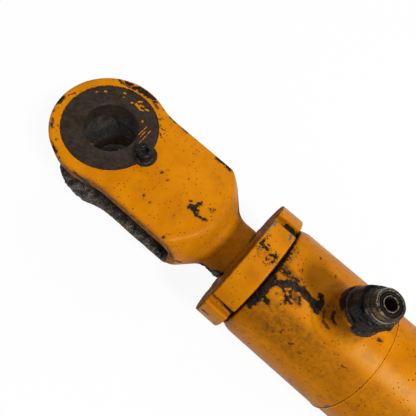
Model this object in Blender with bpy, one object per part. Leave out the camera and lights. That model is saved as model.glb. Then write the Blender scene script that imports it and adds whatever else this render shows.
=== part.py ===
"""Hydraulic steering cylinder: forged rod fork, slotted gland, welded barrel and base eye.

The frame's origin is the centre of the base eye's bearing. +X runs along the cylinder towards
the rod fork, and +Z is the axis of both pins. Sizes below are millimetres and degrees. The rod
is fully drawn in, as it is at rest.
"""
import math

import bmesh
import bpy
from mathutils import Vector

MM = 0.001

# Fits and gaps
SEAT_GAP = 0.3
RUNNING_GAP = 0.25
BORE_RUNNING_GAP = 0.35
BITE = 2.0

# Cylinder
BORE_DIAMETER = 90.0
ROD_DIAMETER = 50.0
STROKE = 370.0
STOP_GAP = 0.5
END_PLAY = 1.0
TUBE_WALL = 8.3
WELD_RISE = 1.6
WELD_WIDTH = 2.4

# Fork on the rod
FORK_PIN_DIAMETER = 45.0
FORK_EYE_WALL = 27.2
FORK_EYE_BULGE = 6.0
FORK_SLOT = 41.0
FORK_EAR = 16.0
FORK_BLEND = 60.0
FORK_SLOT_DEPTH = 105.0
FORK_SLOT_ROUND = 8.0
FORK_EDGE_ROUND = 3.0
FORK_WEB = 26.8
FORK_BORE_CHAMFER = 1.2
SHOULDER_FILLET = 5.0
NECK_LENGTH = 18.7
NECK_LIP = 1.3
NECK_CHAMFER = 1.0
NECK_CLEARANCE = 2.7
SPOTFACE_WIDTH = 18.0
SPOTFACE_DEPTH = 0.8
LOCK_SCREW_INSET = 2.2
LOCK_SCREW_THREAD = 8.0
LOCK_SCREW_HEAD = 13.0
LOCK_SCREW_HEAD_HEIGHT = 8.0
LOCK_SCREW_CHAMFER = 0.7
LOCK_SCREW_LENGTH = 12.0
LOCK_SCREW_SOCKET = 6.0
LOCK_SCREW_SOCKET_DEPTH = 4.0
LOCK_WASHER_DIAMETER = 17.0
LOCK_WASHER_THICKNESS = 1.6
LOCK_WASHER_SHELF = 2.0

# Barrel head
HEAD_LIP = 1.2
HEAD_CHAMFER_RISE = 3.0
HEAD_CHAMFER_RUN = 6.0
SEAM_TO_FRONT_PORT = 41.7

# Gland, measured back from its front face
GLAND_LIP = 4.9
GLAND_FLANGE = 22.1
GLAND_CHAMFER = 1.2
GLAND_SLOTS = 4
GLAND_SLOT_WIDTH = 11.0
GLAND_SLOT_DEPTH = 7.0
GLAND_SLOT_TURN = 29.4
GLAND_JOINT = 2.4
GLAND_THREAD_STEP = 2.2
GLAND_THREAD_LENGTH = 31.9
GLAND_PILOT_LENGTH = 18.8
GLAND_SNOUT = 21.0
PORT_ANNULUS = 8.0
PORT_FROM_PILOT = 10.9
STATIC_GROOVE_LAND = 5.0
STATIC_GROOVE_ROOM = 1.1
STATIC_SEAL_SECTION = 3.6
BACKUP_RING_WIDTH = 1.8
SNOUT_LAND = 3.2
WIPER_LIP = 2.0
SEAL_NOTCH_DEPTH_SHARE = 0.5
SEAL_NOTCH_WIDTH_SHARE = 0.33

# Ports and their adapters, measured out from the cylinder's axis
PORT_LEAN = 1.8
BOSS_RISE = 26.0
BOSS_SHELF = 1.3
BOSS_FILLET = 9.0
BOSS_CHAMFER = 1.0
BOSS_ROOT_COVER = 1.0
BOSS_SINK = 1.2
PORT_THREAD_DIAMETER = 22.0
PORT_SPARE_DEPTH = 3.0
PORT_DRILLING = 11.0
STUD_LENGTH = 14.0
STUD_SEAL_SECTION = 1.8
COLLAR_LIP = 1.7
COLLAR_HEIGHT = 3.2
COLLAR_GROOVE = 0.9
ADAPTER_HEX = 27.0
ADAPTER_HEX_TURN = 30.0
ADAPTER_HEX_HEIGHT = 13.1
ADAPTER_HEX_CHAMFER = 1.2
ADAPTER_NECK_HEIGHT = 3.0
ADAPTER_NECK_STEP = 1.7
ADAPTER_LEDGE_HEIGHT = 1.4
ADAPTER_LEDGE_LIP = 1.0
NOSE_LENGTH = 7.3
NOSE_CHAMFER = 0.8
NOSE_RIM = 2.3
FACE_GROOVE_WIDTH = 2.55
FACE_GROOVE_DEPTH = 1.9
FACE_LAND = 0.9
FACE_SEAL_SECTION = 1.78
ADAPTER_BORE_RADIUS = 4.55

# Piston and its nut
PISTON_LAND = 5.0
PISTON_CLEARANCE = 0.35
PISTON_SEAL_LIP = 2.4
SPIGOT_DIAMETER = 36.0
NUT_HEIGHT = 22.0
NUT_HEX = 55.0
NUT_CHAMFER = 2.4
THREAD_STANDBACK = 1.0
EDGE_CHAMFER = 1.0
HEX_CORNER_CHAMFER = 0.4
PISTON_STATIC_START = 30.0
PISTON_STATIC_WIDTH = 5.0
PISTON_STATIC_DEPTH = 3.2

# Base eye and its bearing
BASE_PIN_DIAMETER = 45.0
BALL_WALL = 7.5
BALL_PROUD = 3.5
BALL_CHAMFER = 0.8
RACE_WALL = 4.0
RACE_GAP = 0.35
BEARING_WIDTH = 25.0
BEARING_RECESS = 6.5
BASE_EYE_WALL = 16.0
BASE_EYE_BULGE = 6.0
BASE_BLEND = 60.0
BASE_EDGE_ROUND = 3.0
BASE_MOUTH_CHAMFER = 1.0
CAP_STANDBACK = 4.0
CAP_CORE_RADIUS = 27.0
CAP_FLOOR = 14.5
FLOOR_TO_REAR_PORT = 12.0
REAR_PORT_TO_SEAM = 38.0
CLIP_THICKNESS = 2.5
CLIP_GROOVE_DEPTH = 1.5
CLIP_BAND = 4.6
CLIP_OPENING = 24.0
CLIP_LUG = 7.0
CLIP_LUG_ANGLE = 13.0
CLIP_HOLE_RADIUS = 1.3
CLIP_HOLE_INSET = 4.2
NIPPLE_THREAD = 9.4
NIPPLE_DEPTH = 6.0
NIPPLE_HEX = 11.0
NIPPLE_HEX_HEIGHT = 5.0
NIPPLE_CHAMFER = 1.0
NIPPLE_WAIST = 3.0
NIPPLE_HEAD = 3.3
NIPPLE_HEAD_LENGTH = 4.4
NIPPLE_FLARE = 1.6
NIPPLE_CONE = 2.6
NIPPLE_TIP_RADIUS = 1.2
NIPPLE_HEIGHT = 15.0
NIPPLE_SEAT_DEPTH = 1.0
NIPPLE_SEAT_ROOM = 1.5
GREASE_DRILLING = 3.0

# Round detail
BIG_STEPS = 32
TURN_STEPS = 32
SEAL_STEPS = 24
BOSS_STEPS = 24
SMALL_STEPS = 16
HOLE_STEPS = 8

# Radii and widths, worked out from the sizes above
BORE_RADIUS = BORE_DIAMETER / 2
ROD_RADIUS = ROD_DIAMETER / 2
TUBE_RADIUS = BORE_RADIUS + TUBE_WALL
HEAD_RADIUS = TUBE_RADIUS + HEAD_LIP
GLAND_RADIUS = HEAD_RADIUS + GLAND_LIP
GLAND_THREAD_RADIUS = BORE_RADIUS + GLAND_THREAD_STEP
GLAND_SNOUT_RADIUS = BORE_RADIUS - PORT_ANNULUS
GLAND_PILOT_RADIUS = BORE_RADIUS - SEAT_GAP
GLAND_BORE_RADIUS = ROD_RADIUS + BORE_RUNNING_GAP
STATIC_GROOVE_DEPTH = STATIC_SEAL_SECTION + 2 * SEAT_GAP
STATIC_GROOVE_WIDTH = STATIC_SEAL_SECTION + BACKUP_RING_WIDTH + STATIC_GROOVE_ROOM
PISTON_RADIUS = BORE_RADIUS - PISTON_CLEARANCE
SPIGOT_RADIUS = SPIGOT_DIAMETER / 2
FORK_EYE_RADIUS = FORK_PIN_DIAMETER / 2 + FORK_EYE_WALL
FORK_WIDTH = 2 * (FORK_EYE_RADIUS - FORK_EYE_BULGE)
FORK_FACE = FORK_SLOT / 2 + FORK_EAR
FORK_HALF_THICKNESS = FORK_FACE + SPOTFACE_DEPTH
NECK_RADIUS = ROD_RADIUS + NECK_LIP
SPOTFACE_RADIUS = FORK_PIN_DIAMETER / 2 + SPOTFACE_WIDTH
LOCK_SCREW_FROM_PIN = SPOTFACE_RADIUS - LOCK_SCREW_INSET
LOCK_SCREW_PAD = LOCK_WASHER_DIAMETER / 2 + LOCK_WASHER_SHELF
BALL_RADIUS = BASE_PIN_DIAMETER / 2 + BALL_WALL
BALL_WIDTH = BEARING_WIDTH + 2 * BALL_PROUD
BEARING_RADIUS = BALL_RADIUS + RACE_WALL
BASE_EYE_RADIUS = BEARING_RADIUS + BASE_EYE_WALL
BASE_EYE_WIDTH = 2 * (BASE_EYE_RADIUS - BASE_EYE_BULGE)
BASE_EYE_THICKNESS = BEARING_WIDTH + 2 * BEARING_RECESS

# The port adapter, from its bore outwards and from its seat up
FACE_GROOVE_INNER = ADAPTER_BORE_RADIUS + FACE_LAND
FACE_GROOVE_OUTER = FACE_GROOVE_INNER + FACE_GROOVE_WIDTH
NOSE_RADIUS = FACE_GROOVE_OUTER + NOSE_RIM
ADAPTER_LEDGE_RADIUS = NOSE_RADIUS + ADAPTER_LEDGE_LIP
ADAPTER_NECK_RADIUS = ADAPTER_LEDGE_RADIUS - ADAPTER_NECK_STEP
COLLAR_RADIUS = ADAPTER_HEX / 2 + COLLAR_LIP
BOSS_RADIUS = COLLAR_RADIUS + BOSS_SHELF
PORT_SEAT_WIDTH = STUD_SEAL_SECTION + 2 * SEAT_GAP
BOSS_TOP = HEAD_RADIUS + BOSS_RISE
PORT_THREAD_FOOT = BOSS_TOP - STUD_LENGTH - PORT_SPARE_DEPTH
COLLAR_FOOT = BOSS_TOP + SEAT_GAP
HEX_FOOT = COLLAR_FOOT + COLLAR_HEIGHT + COLLAR_GROOVE
HEX_TOP = HEX_FOOT + ADAPTER_HEX_HEIGHT
LEDGE_FOOT = HEX_TOP + ADAPTER_NECK_HEIGHT
NOSE_FOOT = LEDGE_FOOT + ADAPTER_LEDGE_HEIGHT
NOSE_FACE = NOSE_FOOT + NOSE_LENGTH

# Distances back from the gland's front face
GLAND_THREAD_END = GLAND_FLANGE + GLAND_THREAD_LENGTH
STATIC_GROOVE_START = GLAND_THREAD_END + STATIC_GROOVE_LAND
GLAND_PILOT_END = GLAND_THREAD_END + GLAND_PILOT_LENGTH
GLAND_LENGTH = GLAND_PILOT_END + GLAND_SNOUT

# Ring grooves: start from the gland's front face or the piston's rear face, width, depth
ROD_GROOVES = {
    "rod_wiper": (0.0, 8.0, 6.3),
    "rod_guide_front": (24.0, 14.0, 2.4),
    "rod_seal": (45.0, 10.0, 6.3),
    "rod_buffer_seal": (61.0, 6.5, 5.2),
    "rod_guide_rear": (GLAND_PILOT_END + SNOUT_LAND, 10.0, 2.4),
}
PISTON_GROOVES = {
    "piston_guide_rear": (PISTON_LAND, 10.0, 2.4),
    "piston_seal": (21.0, 12.0, 7.5),
    "piston_guide_front": (40.0, 10.0, 2.4),
}
PISTON_LENGTH = sum(PISTON_GROOVES["piston_guide_front"][:2]) + PISTON_LAND

# Places along the cylinder, from the base pin
CAP_CORE_START = BEARING_RADIUS + CAP_STANDBACK
CAP_RIM = CAP_CORE_START + HEAD_RADIUS - CAP_CORE_RADIUS
CAP_INNER_FACE = CAP_RIM + CAP_FLOOR
REAR_PORT = CAP_INNER_FACE + FLOOR_TO_REAR_PORT
BASE_SEAM = REAR_PORT + REAR_PORT_TO_SEAM
NUT_START = CAP_INNER_FACE + STOP_GAP
PISTON_REAR = NUT_START + NUT_HEIGHT + SEAT_GAP
PISTON_FRONT = PISTON_REAR + PISTON_LENGTH
GLAND_FACE = PISTON_FRONT + STROKE + END_PLAY + GLAND_LENGTH
HEAD_FACE = GLAND_FACE - GLAND_FLANGE - GLAND_JOINT
FRONT_PORT = GLAND_FACE - GLAND_PILOT_END - PORT_FROM_PILOT
HEAD_SEAM = FRONT_PORT - SEAM_TO_FRONT_PORT
NECK_END = GLAND_FACE + NECK_CLEARANCE
SHOULDER_END = FORK_SLOT_DEPTH + FORK_WEB
FORK_REACH = SHOULDER_END + NECK_LENGTH
FORK_PIN = NECK_END + FORK_REACH

X_AXIS = Vector((1, 0, 0))
Z_AXIS = Vector((0, 0, 1))


def clear_scene():
    for thing in list(bpy.data.objects):
        bpy.data.objects.remove(thing, do_unlink=True)


def material(name, colour, roughness, metallic):
    made = bpy.data.materials.new(name)
    made.use_nodes = True
    shader = made.node_tree.nodes["Principled BSDF"]
    shader.inputs["Base Color"].default_value = (*colour, 1.0)
    shader.inputs["Roughness"].default_value = roughness
    shader.inputs["Metallic"].default_value = metallic
    made.diffuse_color = (*colour, 1.0)
    return made


def mesh_object(name, bm, finish, parent=None):
    """Close a bmesh into a smooth shaded object, and hang it on its parent empty."""
    bmesh.ops.remove_doubles(bm, verts=bm.verts, dist=1e-6)
    bmesh.ops.recalc_face_normals(bm, faces=bm.faces)
    mesh = bpy.data.meshes.new(name)
    bm.to_mesh(mesh)
    bm.free()
    mesh.shade_smooth()
    mesh.set_sharp_from_angle(angle=math.radians(32))
    mesh.materials.append(finish)
    return placed(name, mesh, parent)


def placed(name, mesh, parent=None):
    made = bpy.data.objects.new(name, mesh)
    bpy.context.scene.collection.objects.link(made)
    made.parent = parent
    return made


def empty(name, location=(0, 0, 0), parent=None):
    made = bpy.data.objects.new(name, None)
    bpy.context.scene.collection.objects.link(made)
    made.location = Vector(location) * MM
    made.parent = parent
    return made


def boolean(target, tool, operation="DIFFERENCE"):
    """Cut, join or intersect with a tool object that itself stays out of the model."""
    tool.hide_render = True
    tool.display_type = "WIRE"
    change = target.modifiers.new(tool.name, "BOOLEAN")
    change.operation = operation
    change.solver = "EXACT"
    change.object = tool


def lathe(profile, steps, axis=X_AXIS):
    """Spin an (along, radius) profile about an axis; one that touches the axis stays open."""
    side = Z_AXIS if axis == X_AXIS else X_AXIS
    bm = bmesh.new()
    verts = [bm.verts.new((axis * along + side * radius) * MM) for along, radius in profile]
    edges = [bm.edges.new(pair) for pair in zip(verts, verts[1:])]
    if min(radius for _, radius in profile) > 0:
        edges.append(bm.edges.new((verts[-1], verts[0])))
    bmesh.ops.spin(bm, geom=verts + edges, cent=(0, 0, 0), axis=axis, angle=math.tau,
                   steps=steps, use_merge=True)
    return bm


def prism(outline, low, high):
    """Extrude an (x, y) outline along Z."""
    bm = bmesh.new()
    face = bm.faces.new([bm.verts.new((x * MM, y * MM, low * MM)) for x, y in outline])
    grown = bmesh.ops.extrude_face_region(bm, geom=[face])
    top = [item for item in grown["geom"] if isinstance(item, bmesh.types.BMVert)]
    bmesh.ops.translate(bm, verts=top, vec=(0, 0, (high - low) * MM))
    return bm


def arc(centre, radius, start, end, pieces):
    """Points on an arc, angles in degrees."""
    turns = [math.radians(start + (end - start) * step / pieces) for step in range(pieces + 1)]
    return [(centre[0] + radius * math.cos(turn), centre[1] + radius * math.sin(turn))
            for turn in turns]


def hexagon(across_flats, turn=0):
    return arc((0, 0), across_flats / math.sqrt(3), turn, turn + 300, 5)


def corner_radius(across_flats):
    """Radius of a hexagon's corners, which the turning takes off a little."""
    return across_flats / math.sqrt(3) - HEX_CORNER_CHAMFER


def hex_trim(name, across_flats, low, high, finish, parent, turn=0):
    """A ring with a hexagonal hole, turned by so many degrees, which cuts flats on a turned piece."""
    bm = bmesh.new()
    corners = ((across_flats, low), (across_flats * 1.5, low), (across_flats * 1.5, high),
               (across_flats, high))
    loops = [[bm.verts.new((x * MM, y * MM, height * MM)) for x, y in hexagon(size, turn)]
             for size, height in corners]
    for loop, following in zip(loops, loops[1:] + loops[:1]):
        for side in range(6):
            bm.faces.new((loop[side - 1], loop[side], following[side], following[side - 1]))
    return mesh_object(name, bm, finish, parent)


def ring_profile(low, high, inner, outer):
    return [(low, inner), (high, inner), (high, outer), (low, outer)]


def round_profile(along, radius, section, points):
    """The round section of an O-ring."""
    return arc((along, radius), section / 2, 0, 360 * (points - 1) / points, points - 1)


def eye_outline(eye_radius, width, blend, reach):
    """Plan of an eye with hollow blends into straight sides that run to -X."""
    side = width / 2
    blend_x = math.sqrt((eye_radius + blend) ** 2 - (side + blend) ** 2)
    meet = math.degrees(math.atan2(side + blend, blend_x))
    upper = arc((0, 0), eye_radius, 0, 180 - meet, 12)
    upper += arc((-blend_x, side + blend), blend, -meet, -90, 3)[1:]
    upper.append((-reach, side))
    lower = [(x, -y) for x, y in reversed(upper[1:])]
    return upper + lower


def bevel_edges(target, width):
    """Round the sharp rims of an extruded outline, leaving its smooth sides alone."""
    rounding = target.modifiers.new("edge_round", "BEVEL")
    rounding.width = width * MM
    rounding.segments = 2
    rounding.limit_method = "ANGLE"
    rounding.angle_limit = math.radians(60)


def build_fork(finish, parent):
    """The forging: eyes, straight sides, a turned 45 degree shoulder and a round neck."""
    fork = mesh_object("rod_fork", prism(
        eye_outline(FORK_EYE_RADIUS, FORK_WIDTH, FORK_BLEND, FORK_REACH),
        -FORK_HALF_THICKNESS, FORK_HALF_THICKNESS), finish, parent)
    bevel_edges(fork, FORK_EDGE_ROUND)

    neck = NECK_RADIUS
    clear = math.hypot(FORK_WIDTH / 2, FORK_HALF_THICKNESS) + BITE
    fillet_end = SHOULDER_END + SHOULDER_FILLET * math.tan(math.radians(22.5))
    fillet = arc((-fillet_end, neck + SHOULDER_FILLET), SHOULDER_FILLET, -90, -45, 4)
    envelope = [(-FORK_REACH, 0), (-FORK_REACH, neck - NECK_CHAMFER),
                (-FORK_REACH + NECK_CHAMFER, neck)]
    envelope += fillet
    envelope += [(clear - neck - SHOULDER_END, clear), (FORK_EYE_RADIUS + BITE, clear),
                 (FORK_EYE_RADIUS + BITE, 0)]
    turned = mesh_object("fork_turning_tool", lathe(envelope, BIG_STEPS), finish, parent)
    boolean(fork, turned, "INTERSECT")

    half = FORK_SLOT / 2
    root = FORK_SLOT_DEPTH - FORK_SLOT_ROUND
    slot = [(FORK_EYE_RADIUS + BITE, half)]
    slot += arc((-root, half - FORK_SLOT_ROUND), FORK_SLOT_ROUND, 90, 180, 4)
    slot += arc((-root, FORK_SLOT_ROUND - half), FORK_SLOT_ROUND, 180, 270, 4)
    slot += [(FORK_EYE_RADIUS + BITE, -half)]
    slotter = mesh_object("fork_slot_tool", prism(
        slot, -FORK_WIDTH, FORK_WIDTH), finish, parent)
    slotter.rotation_euler = (math.radians(90), 0, 0)
    boolean(fork, slotter)

    for side in (1, -1):
        boolean(fork, spotface_tool(side, finish, parent))

    pin = FORK_PIN_DIAMETER / 2
    flare = FORK_BORE_CHAMFER + BITE
    bore = [(-FORK_FACE - BITE, pin + flare), (-FORK_FACE + FORK_BORE_CHAMFER, pin),
            (FORK_FACE - FORK_BORE_CHAMFER, pin), (FORK_FACE + BITE, pin + flare),
            (FORK_FACE + BITE, 0)]
    bore = [(-FORK_FACE - BITE, 0)] + bore
    boolean(fork, mesh_object("fork_pin_tool", lathe(bore, TURN_STEPS, Z_AXIS), finish, parent))

    hole = [(FORK_SLOT / 2 - BITE, 0), (FORK_SLOT / 2 - BITE, LOCK_SCREW_THREAD / 2 + SEAT_GAP),
            (FORK_FACE + BITE, LOCK_SCREW_THREAD / 2 + SEAT_GAP), (FORK_FACE + BITE, 0)]
    tapping = mesh_object("fork_screw_tool", lathe(hole, SMALL_STEPS, Z_AXIS), finish, parent)
    tapping.location.x = -LOCK_SCREW_FROM_PIN * MM
    boolean(fork, tapping)


def spotface_tool(side, finish, parent):
    """The machined face round the pin, with a lobe for the lock screw."""
    along = (SPOTFACE_RADIUS ** 2 - LOCK_SCREW_PAD ** 2 + LOCK_SCREW_FROM_PIN ** 2)
    along /= 2 * LOCK_SCREW_FROM_PIN
    across = math.sqrt(SPOTFACE_RADIUS ** 2 - along ** 2)
    big = 180 - math.degrees(math.atan2(across, along))
    small = math.degrees(math.atan2(across, LOCK_SCREW_FROM_PIN - along))
    outline = arc((0, 0), SPOTFACE_RADIUS, -big, big, 30)
    outline += arc((-LOCK_SCREW_FROM_PIN, 0), LOCK_SCREW_PAD, small, 360 - small, 8)[1:-1]
    low, high = sorted((side * FORK_FACE, side * (FORK_FACE + BITE)))
    name = "fork_upper_spotface_tool" if side > 0 else "fork_lower_spotface_tool"
    return mesh_object(name, prism(outline, low, high), finish, parent)


def build_lock_screw(steel, parent):
    """Socket-head screw and washer that hold the pin's retaining plate on the upper ear."""
    seat = FORK_FACE + SEAT_GAP
    under_head = seat + LOCK_WASHER_THICKNESS + SEAT_GAP
    top = under_head + LOCK_SCREW_HEAD_HEIGHT
    thread = LOCK_SCREW_THREAD / 2
    head = LOCK_SCREW_HEAD / 2
    foot = FORK_FACE - LOCK_SCREW_LENGTH
    place = (-LOCK_SCREW_FROM_PIN * MM, 0, 0)

    washer = mesh_object("fork_lock_washer", lathe(
        ring_profile(seat, seat + LOCK_WASHER_THICKNESS, thread + SEAT_GAP,
                     LOCK_WASHER_DIAMETER / 2), SMALL_STEPS, Z_AXIS), steel, parent)
    washer.location = place
    screw = mesh_object("fork_lock_screw", lathe([
        (foot, 0), (foot, thread - LOCK_SCREW_CHAMFER), (foot + LOCK_SCREW_CHAMFER, thread),
        (under_head, thread), (under_head, head), (top - LOCK_SCREW_CHAMFER, head),
        (top, head - LOCK_SCREW_CHAMFER), (top, 0)], SMALL_STEPS, Z_AXIS), steel, parent)
    screw.location = place
    socket = mesh_object("lock_screw_socket_tool", prism(
        hexagon(LOCK_SCREW_SOCKET), top - LOCK_SCREW_SOCKET_DEPTH, top + BITE), steel, parent)
    socket.location = place
    boolean(screw, socket)


def build_rod(chrome, parent):
    """Chromed rod with a threaded spigot for the piston and its nut."""
    shoulder = PISTON_FRONT + SEAT_GAP
    thread_end = NUT_START + THREAD_STANDBACK
    front = NECK_END - SEAT_GAP
    mesh_object("piston_rod", lathe([
        (thread_end, 0), (thread_end, SPIGOT_RADIUS - EDGE_CHAMFER),
        (thread_end + EDGE_CHAMFER, SPIGOT_RADIUS), (shoulder, SPIGOT_RADIUS),
        (shoulder, ROD_RADIUS - EDGE_CHAMFER), (shoulder + EDGE_CHAMFER, ROD_RADIUS),
        (front, ROD_RADIUS), (front, 0)], SEAL_STEPS), chrome, parent)


def groove_points(start, width, edge, floor):
    return [(start, edge), (start, floor), (start + width, floor), (start + width, edge)]


def build_piston(steel, seal, guide, rod_frame, seal_frame):
    """Piston with a groove for each ring, its nut, and the rings that run in the barrel."""
    bore = SPIGOT_RADIUS + SEAT_GAP
    outer = [(PISTON_REAR, bore), (PISTON_REAR, PISTON_RADIUS - EDGE_CHAMFER),
             (PISTON_REAR + EDGE_CHAMFER, PISTON_RADIUS)]
    for start, width, depth in PISTON_GROOVES.values():
        outer += groove_points(PISTON_REAR + start, width, PISTON_RADIUS, PISTON_RADIUS - depth)
    outer += [(PISTON_FRONT - EDGE_CHAMFER, PISTON_RADIUS),
              (PISTON_FRONT, PISTON_RADIUS - EDGE_CHAMFER), (PISTON_FRONT, bore)]
    static = PISTON_REAR + PISTON_STATIC_START
    outer += reversed(groove_points(static, PISTON_STATIC_WIDTH, bore, bore + PISTON_STATIC_DEPTH))
    mesh_object("piston", lathe(outer, SEAL_STEPS), steel, rod_frame)

    section = PISTON_STATIC_DEPTH - SEAT_GAP
    mesh_object("piston_static_seal", lathe(round_profile(
        static + PISTON_STATIC_WIDTH / 2, bore + section / 2, section, 5), SEAL_STEPS),
        seal, rod_frame)

    nut_end = NUT_START + NUT_HEIGHT
    flat = NUT_HEX / 2 - HEX_CORNER_CHAMFER
    nut = mesh_object("piston_nut", lathe([
        (NUT_START, bore), (NUT_START, flat), (NUT_START + NUT_CHAMFER, corner_radius(NUT_HEX)),
        (nut_end - NUT_CHAMFER, corner_radius(NUT_HEX)), (nut_end, flat), (nut_end, bore)],
        SEAL_STEPS), steel, rod_frame)
    trim = hex_trim("piston_nut_hex_tool", NUT_HEX, NUT_START - BITE, nut_end + BITE, steel,
                    rod_frame)
    trim.rotation_euler = (0, math.radians(90), 0)
    boolean(nut, trim)

    for name, (start, width, depth) in PISTON_GROOVES.items():
        low = PISTON_REAR + start + SEAT_GAP
        high = PISTON_REAR + start + width - SEAT_GAP
        floor = PISTON_RADIUS - depth + SEAT_GAP
        skin = BORE_RADIUS - RUNNING_GAP
        if name == "piston_seal":
            profile = [(low, floor), (high, floor), (high, skin - PISTON_SEAL_LIP),
                       (high - PISTON_SEAL_LIP, skin), (low + PISTON_SEAL_LIP, skin),
                       (low, skin - PISTON_SEAL_LIP)]
            mesh_object(name, lathe(profile, SEAL_STEPS), seal, seal_frame)
        else:
            mesh_object(name, lathe(ring_profile(low, high, floor, skin), SEAL_STEPS),
                        guide, seal_frame)


def build_gland(paint, seal, guide, parent):
    """Screwed gland: slotted flange, thread, sealed pilot, and a snout round the rod."""
    def back(distance):
        return GLAND_FACE - distance

    static_floor = GLAND_PILOT_RADIUS - STATIC_GROOVE_DEPTH
    path = [(0, 0), (0, GLAND_RADIUS - GLAND_CHAMFER), (GLAND_CHAMFER, GLAND_RADIUS),
            (GLAND_FLANGE - GLAND_CHAMFER, GLAND_RADIUS),
            (GLAND_FLANGE, GLAND_RADIUS - GLAND_CHAMFER), (GLAND_FLANGE, GLAND_THREAD_RADIUS),
            (GLAND_THREAD_END - EDGE_CHAMFER, GLAND_THREAD_RADIUS),
            (GLAND_THREAD_END, GLAND_THREAD_RADIUS - EDGE_CHAMFER),
            (GLAND_THREAD_END, GLAND_PILOT_RADIUS)]
    path += groove_points(STATIC_GROOVE_START, STATIC_GROOVE_WIDTH, GLAND_PILOT_RADIUS,
                          static_floor)
    path += [(GLAND_PILOT_END, GLAND_PILOT_RADIUS), (GLAND_PILOT_END, GLAND_SNOUT_RADIUS),
             (GLAND_LENGTH, GLAND_SNOUT_RADIUS), (GLAND_LENGTH, 0)]
    gland = mesh_object("gland", lathe([(back(along), radius) for along, radius in path],
                                       BIG_STEPS), paint, parent)
    boring = []
    for start, width, depth in ROD_GROOVES.values():
        boring += groove_points(start, width, GLAND_BORE_RADIUS, GLAND_BORE_RADIUS + depth)
    wiper_floor = boring[1][1]
    boring[:2] = [(-BITE, 0), (-BITE, wiper_floor)]
    boring += [(GLAND_LENGTH + BITE, GLAND_BORE_RADIUS), (GLAND_LENGTH + BITE, 0)]
    boolean(gland, mesh_object("gland_bore_tool", lathe(
        [(back(along), radius) for along, radius in boring], SEAL_STEPS), paint, parent))
    for number in range(GLAND_SLOTS):
        tool = mesh_object("gland_slot_tool_%d" % (number + 1), prism([
            (back(GLAND_FLANGE + GLAND_JOINT / 2), -GLAND_SLOT_WIDTH / 2),
            (back(-BITE), -GLAND_SLOT_WIDTH / 2), (back(-BITE), GLAND_SLOT_WIDTH / 2),
            (back(GLAND_FLANGE + GLAND_JOINT / 2), GLAND_SLOT_WIDTH / 2)],
            GLAND_RADIUS - GLAND_SLOT_DEPTH, GLAND_RADIUS + BITE), paint, parent)
        tool.rotation_euler = (math.radians(GLAND_SLOT_TURN + 360 * number / GLAND_SLOTS), 0, 0)
        boolean(gland, tool)

    skin = ROD_RADIUS + RUNNING_GAP
    for name, (start, width, depth) in ROD_GROOVES.items():
        low = back(start + width - SEAT_GAP)
        high = back(start + SEAT_GAP)
        floor = GLAND_BORE_RADIUS + depth - SEAT_GAP
        if name.startswith("rod_guide"):
            profile, finish = ring_profile(low, high, skin, floor), guide
        elif name == "rod_wiper":
            inner = skin + WIPER_LIP / 2
            tip = high + SEAT_GAP + WIPER_LIP / 2
            profile = [(low, inner), (high, inner), (tip, skin), (tip, inner),
                       (high, inner + WIPER_LIP), (high, floor), (low, floor)]
            finish = seal
        else:
            middle = (skin + floor) / 2
            notch = depth * SEAL_NOTCH_WIDTH_SHARE / 2
            profile = [(low, skin), (high, skin), (high, floor), (low, floor),
                       (low, middle + notch), (low + width * SEAL_NOTCH_DEPTH_SHARE, middle),
                       (low, middle - notch)]
            finish = seal
        mesh_object(name, lathe(profile, SEAL_STEPS), finish, parent)

    section = STATIC_SEAL_SECTION
    seal_middle = STATIC_GROOVE_START + STATIC_GROOVE_WIDTH - SEAT_GAP - section / 2
    mesh_object("gland_static_seal", lathe(round_profile(
        back(seal_middle), static_floor + SEAT_GAP + section / 2, section, 5), BIG_STEPS),
        seal, parent)
    ring_end = STATIC_GROOVE_START + SEAT_GAP / 2 + BACKUP_RING_WIDTH
    mesh_object("gland_backup_ring", lathe(ring_profile(
        back(ring_end), back(STATIC_GROOVE_START + SEAT_GAP / 2), static_floor + SEAT_GAP,
        GLAND_PILOT_RADIUS), BIG_STEPS), guide, parent)


def boss_mesh():
    """A port boss whose foot flares into the round barrel; its own axis is Z."""
    bm = bmesh.new()
    foot = BOSS_RADIUS + BOSS_FILLET
    rings = [(BOSS_RADIUS, BORE_RADIUS + BOSS_ROOT_COVER, None),
             (foot + BOSS_SINK, None, -BOSS_SINK)]
    for step in range(5):
        turn = math.radians(90 * step / 4)
        rings.append((foot - BOSS_FILLET * math.sin(turn), None,
                      BOSS_FILLET * (1 - math.cos(turn))))
    rings += [(BOSS_RADIUS, BOSS_TOP - BOSS_CHAMFER, None),
              (BOSS_RADIUS - BOSS_CHAMFER, BOSS_TOP, None)]
    loops = []
    for radius, height, rise in rings:
        loop = []
        for step in range(BOSS_STEPS):
            turn = math.tau * step / BOSS_STEPS
            x, y = radius * math.cos(turn), radius * math.sin(turn)
            z = height if rise is None else math.sqrt(HEAD_RADIUS ** 2 - y ** 2) + rise
            loop.append(bm.verts.new((x * MM, y * MM, z * MM)))
        loops.append(loop)
    for lower, upper in zip(loops, loops[1:]):
        for step in range(BOSS_STEPS):
            ahead = (step + 1) % BOSS_STEPS
            bm.faces.new((lower[step], lower[ahead], upper[ahead], upper[step]))
    bm.faces.new(loops[0])
    bm.faces.new(loops[-1])
    return bm


def port_frame(name, along, parent):
    """An empty on the cylinder's axis whose Z points out along a port."""
    frame = empty(name, (along, 0, 0), parent)
    frame.rotation_euler = (math.radians(PORT_LEAN), 0, 0)
    return frame


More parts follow.
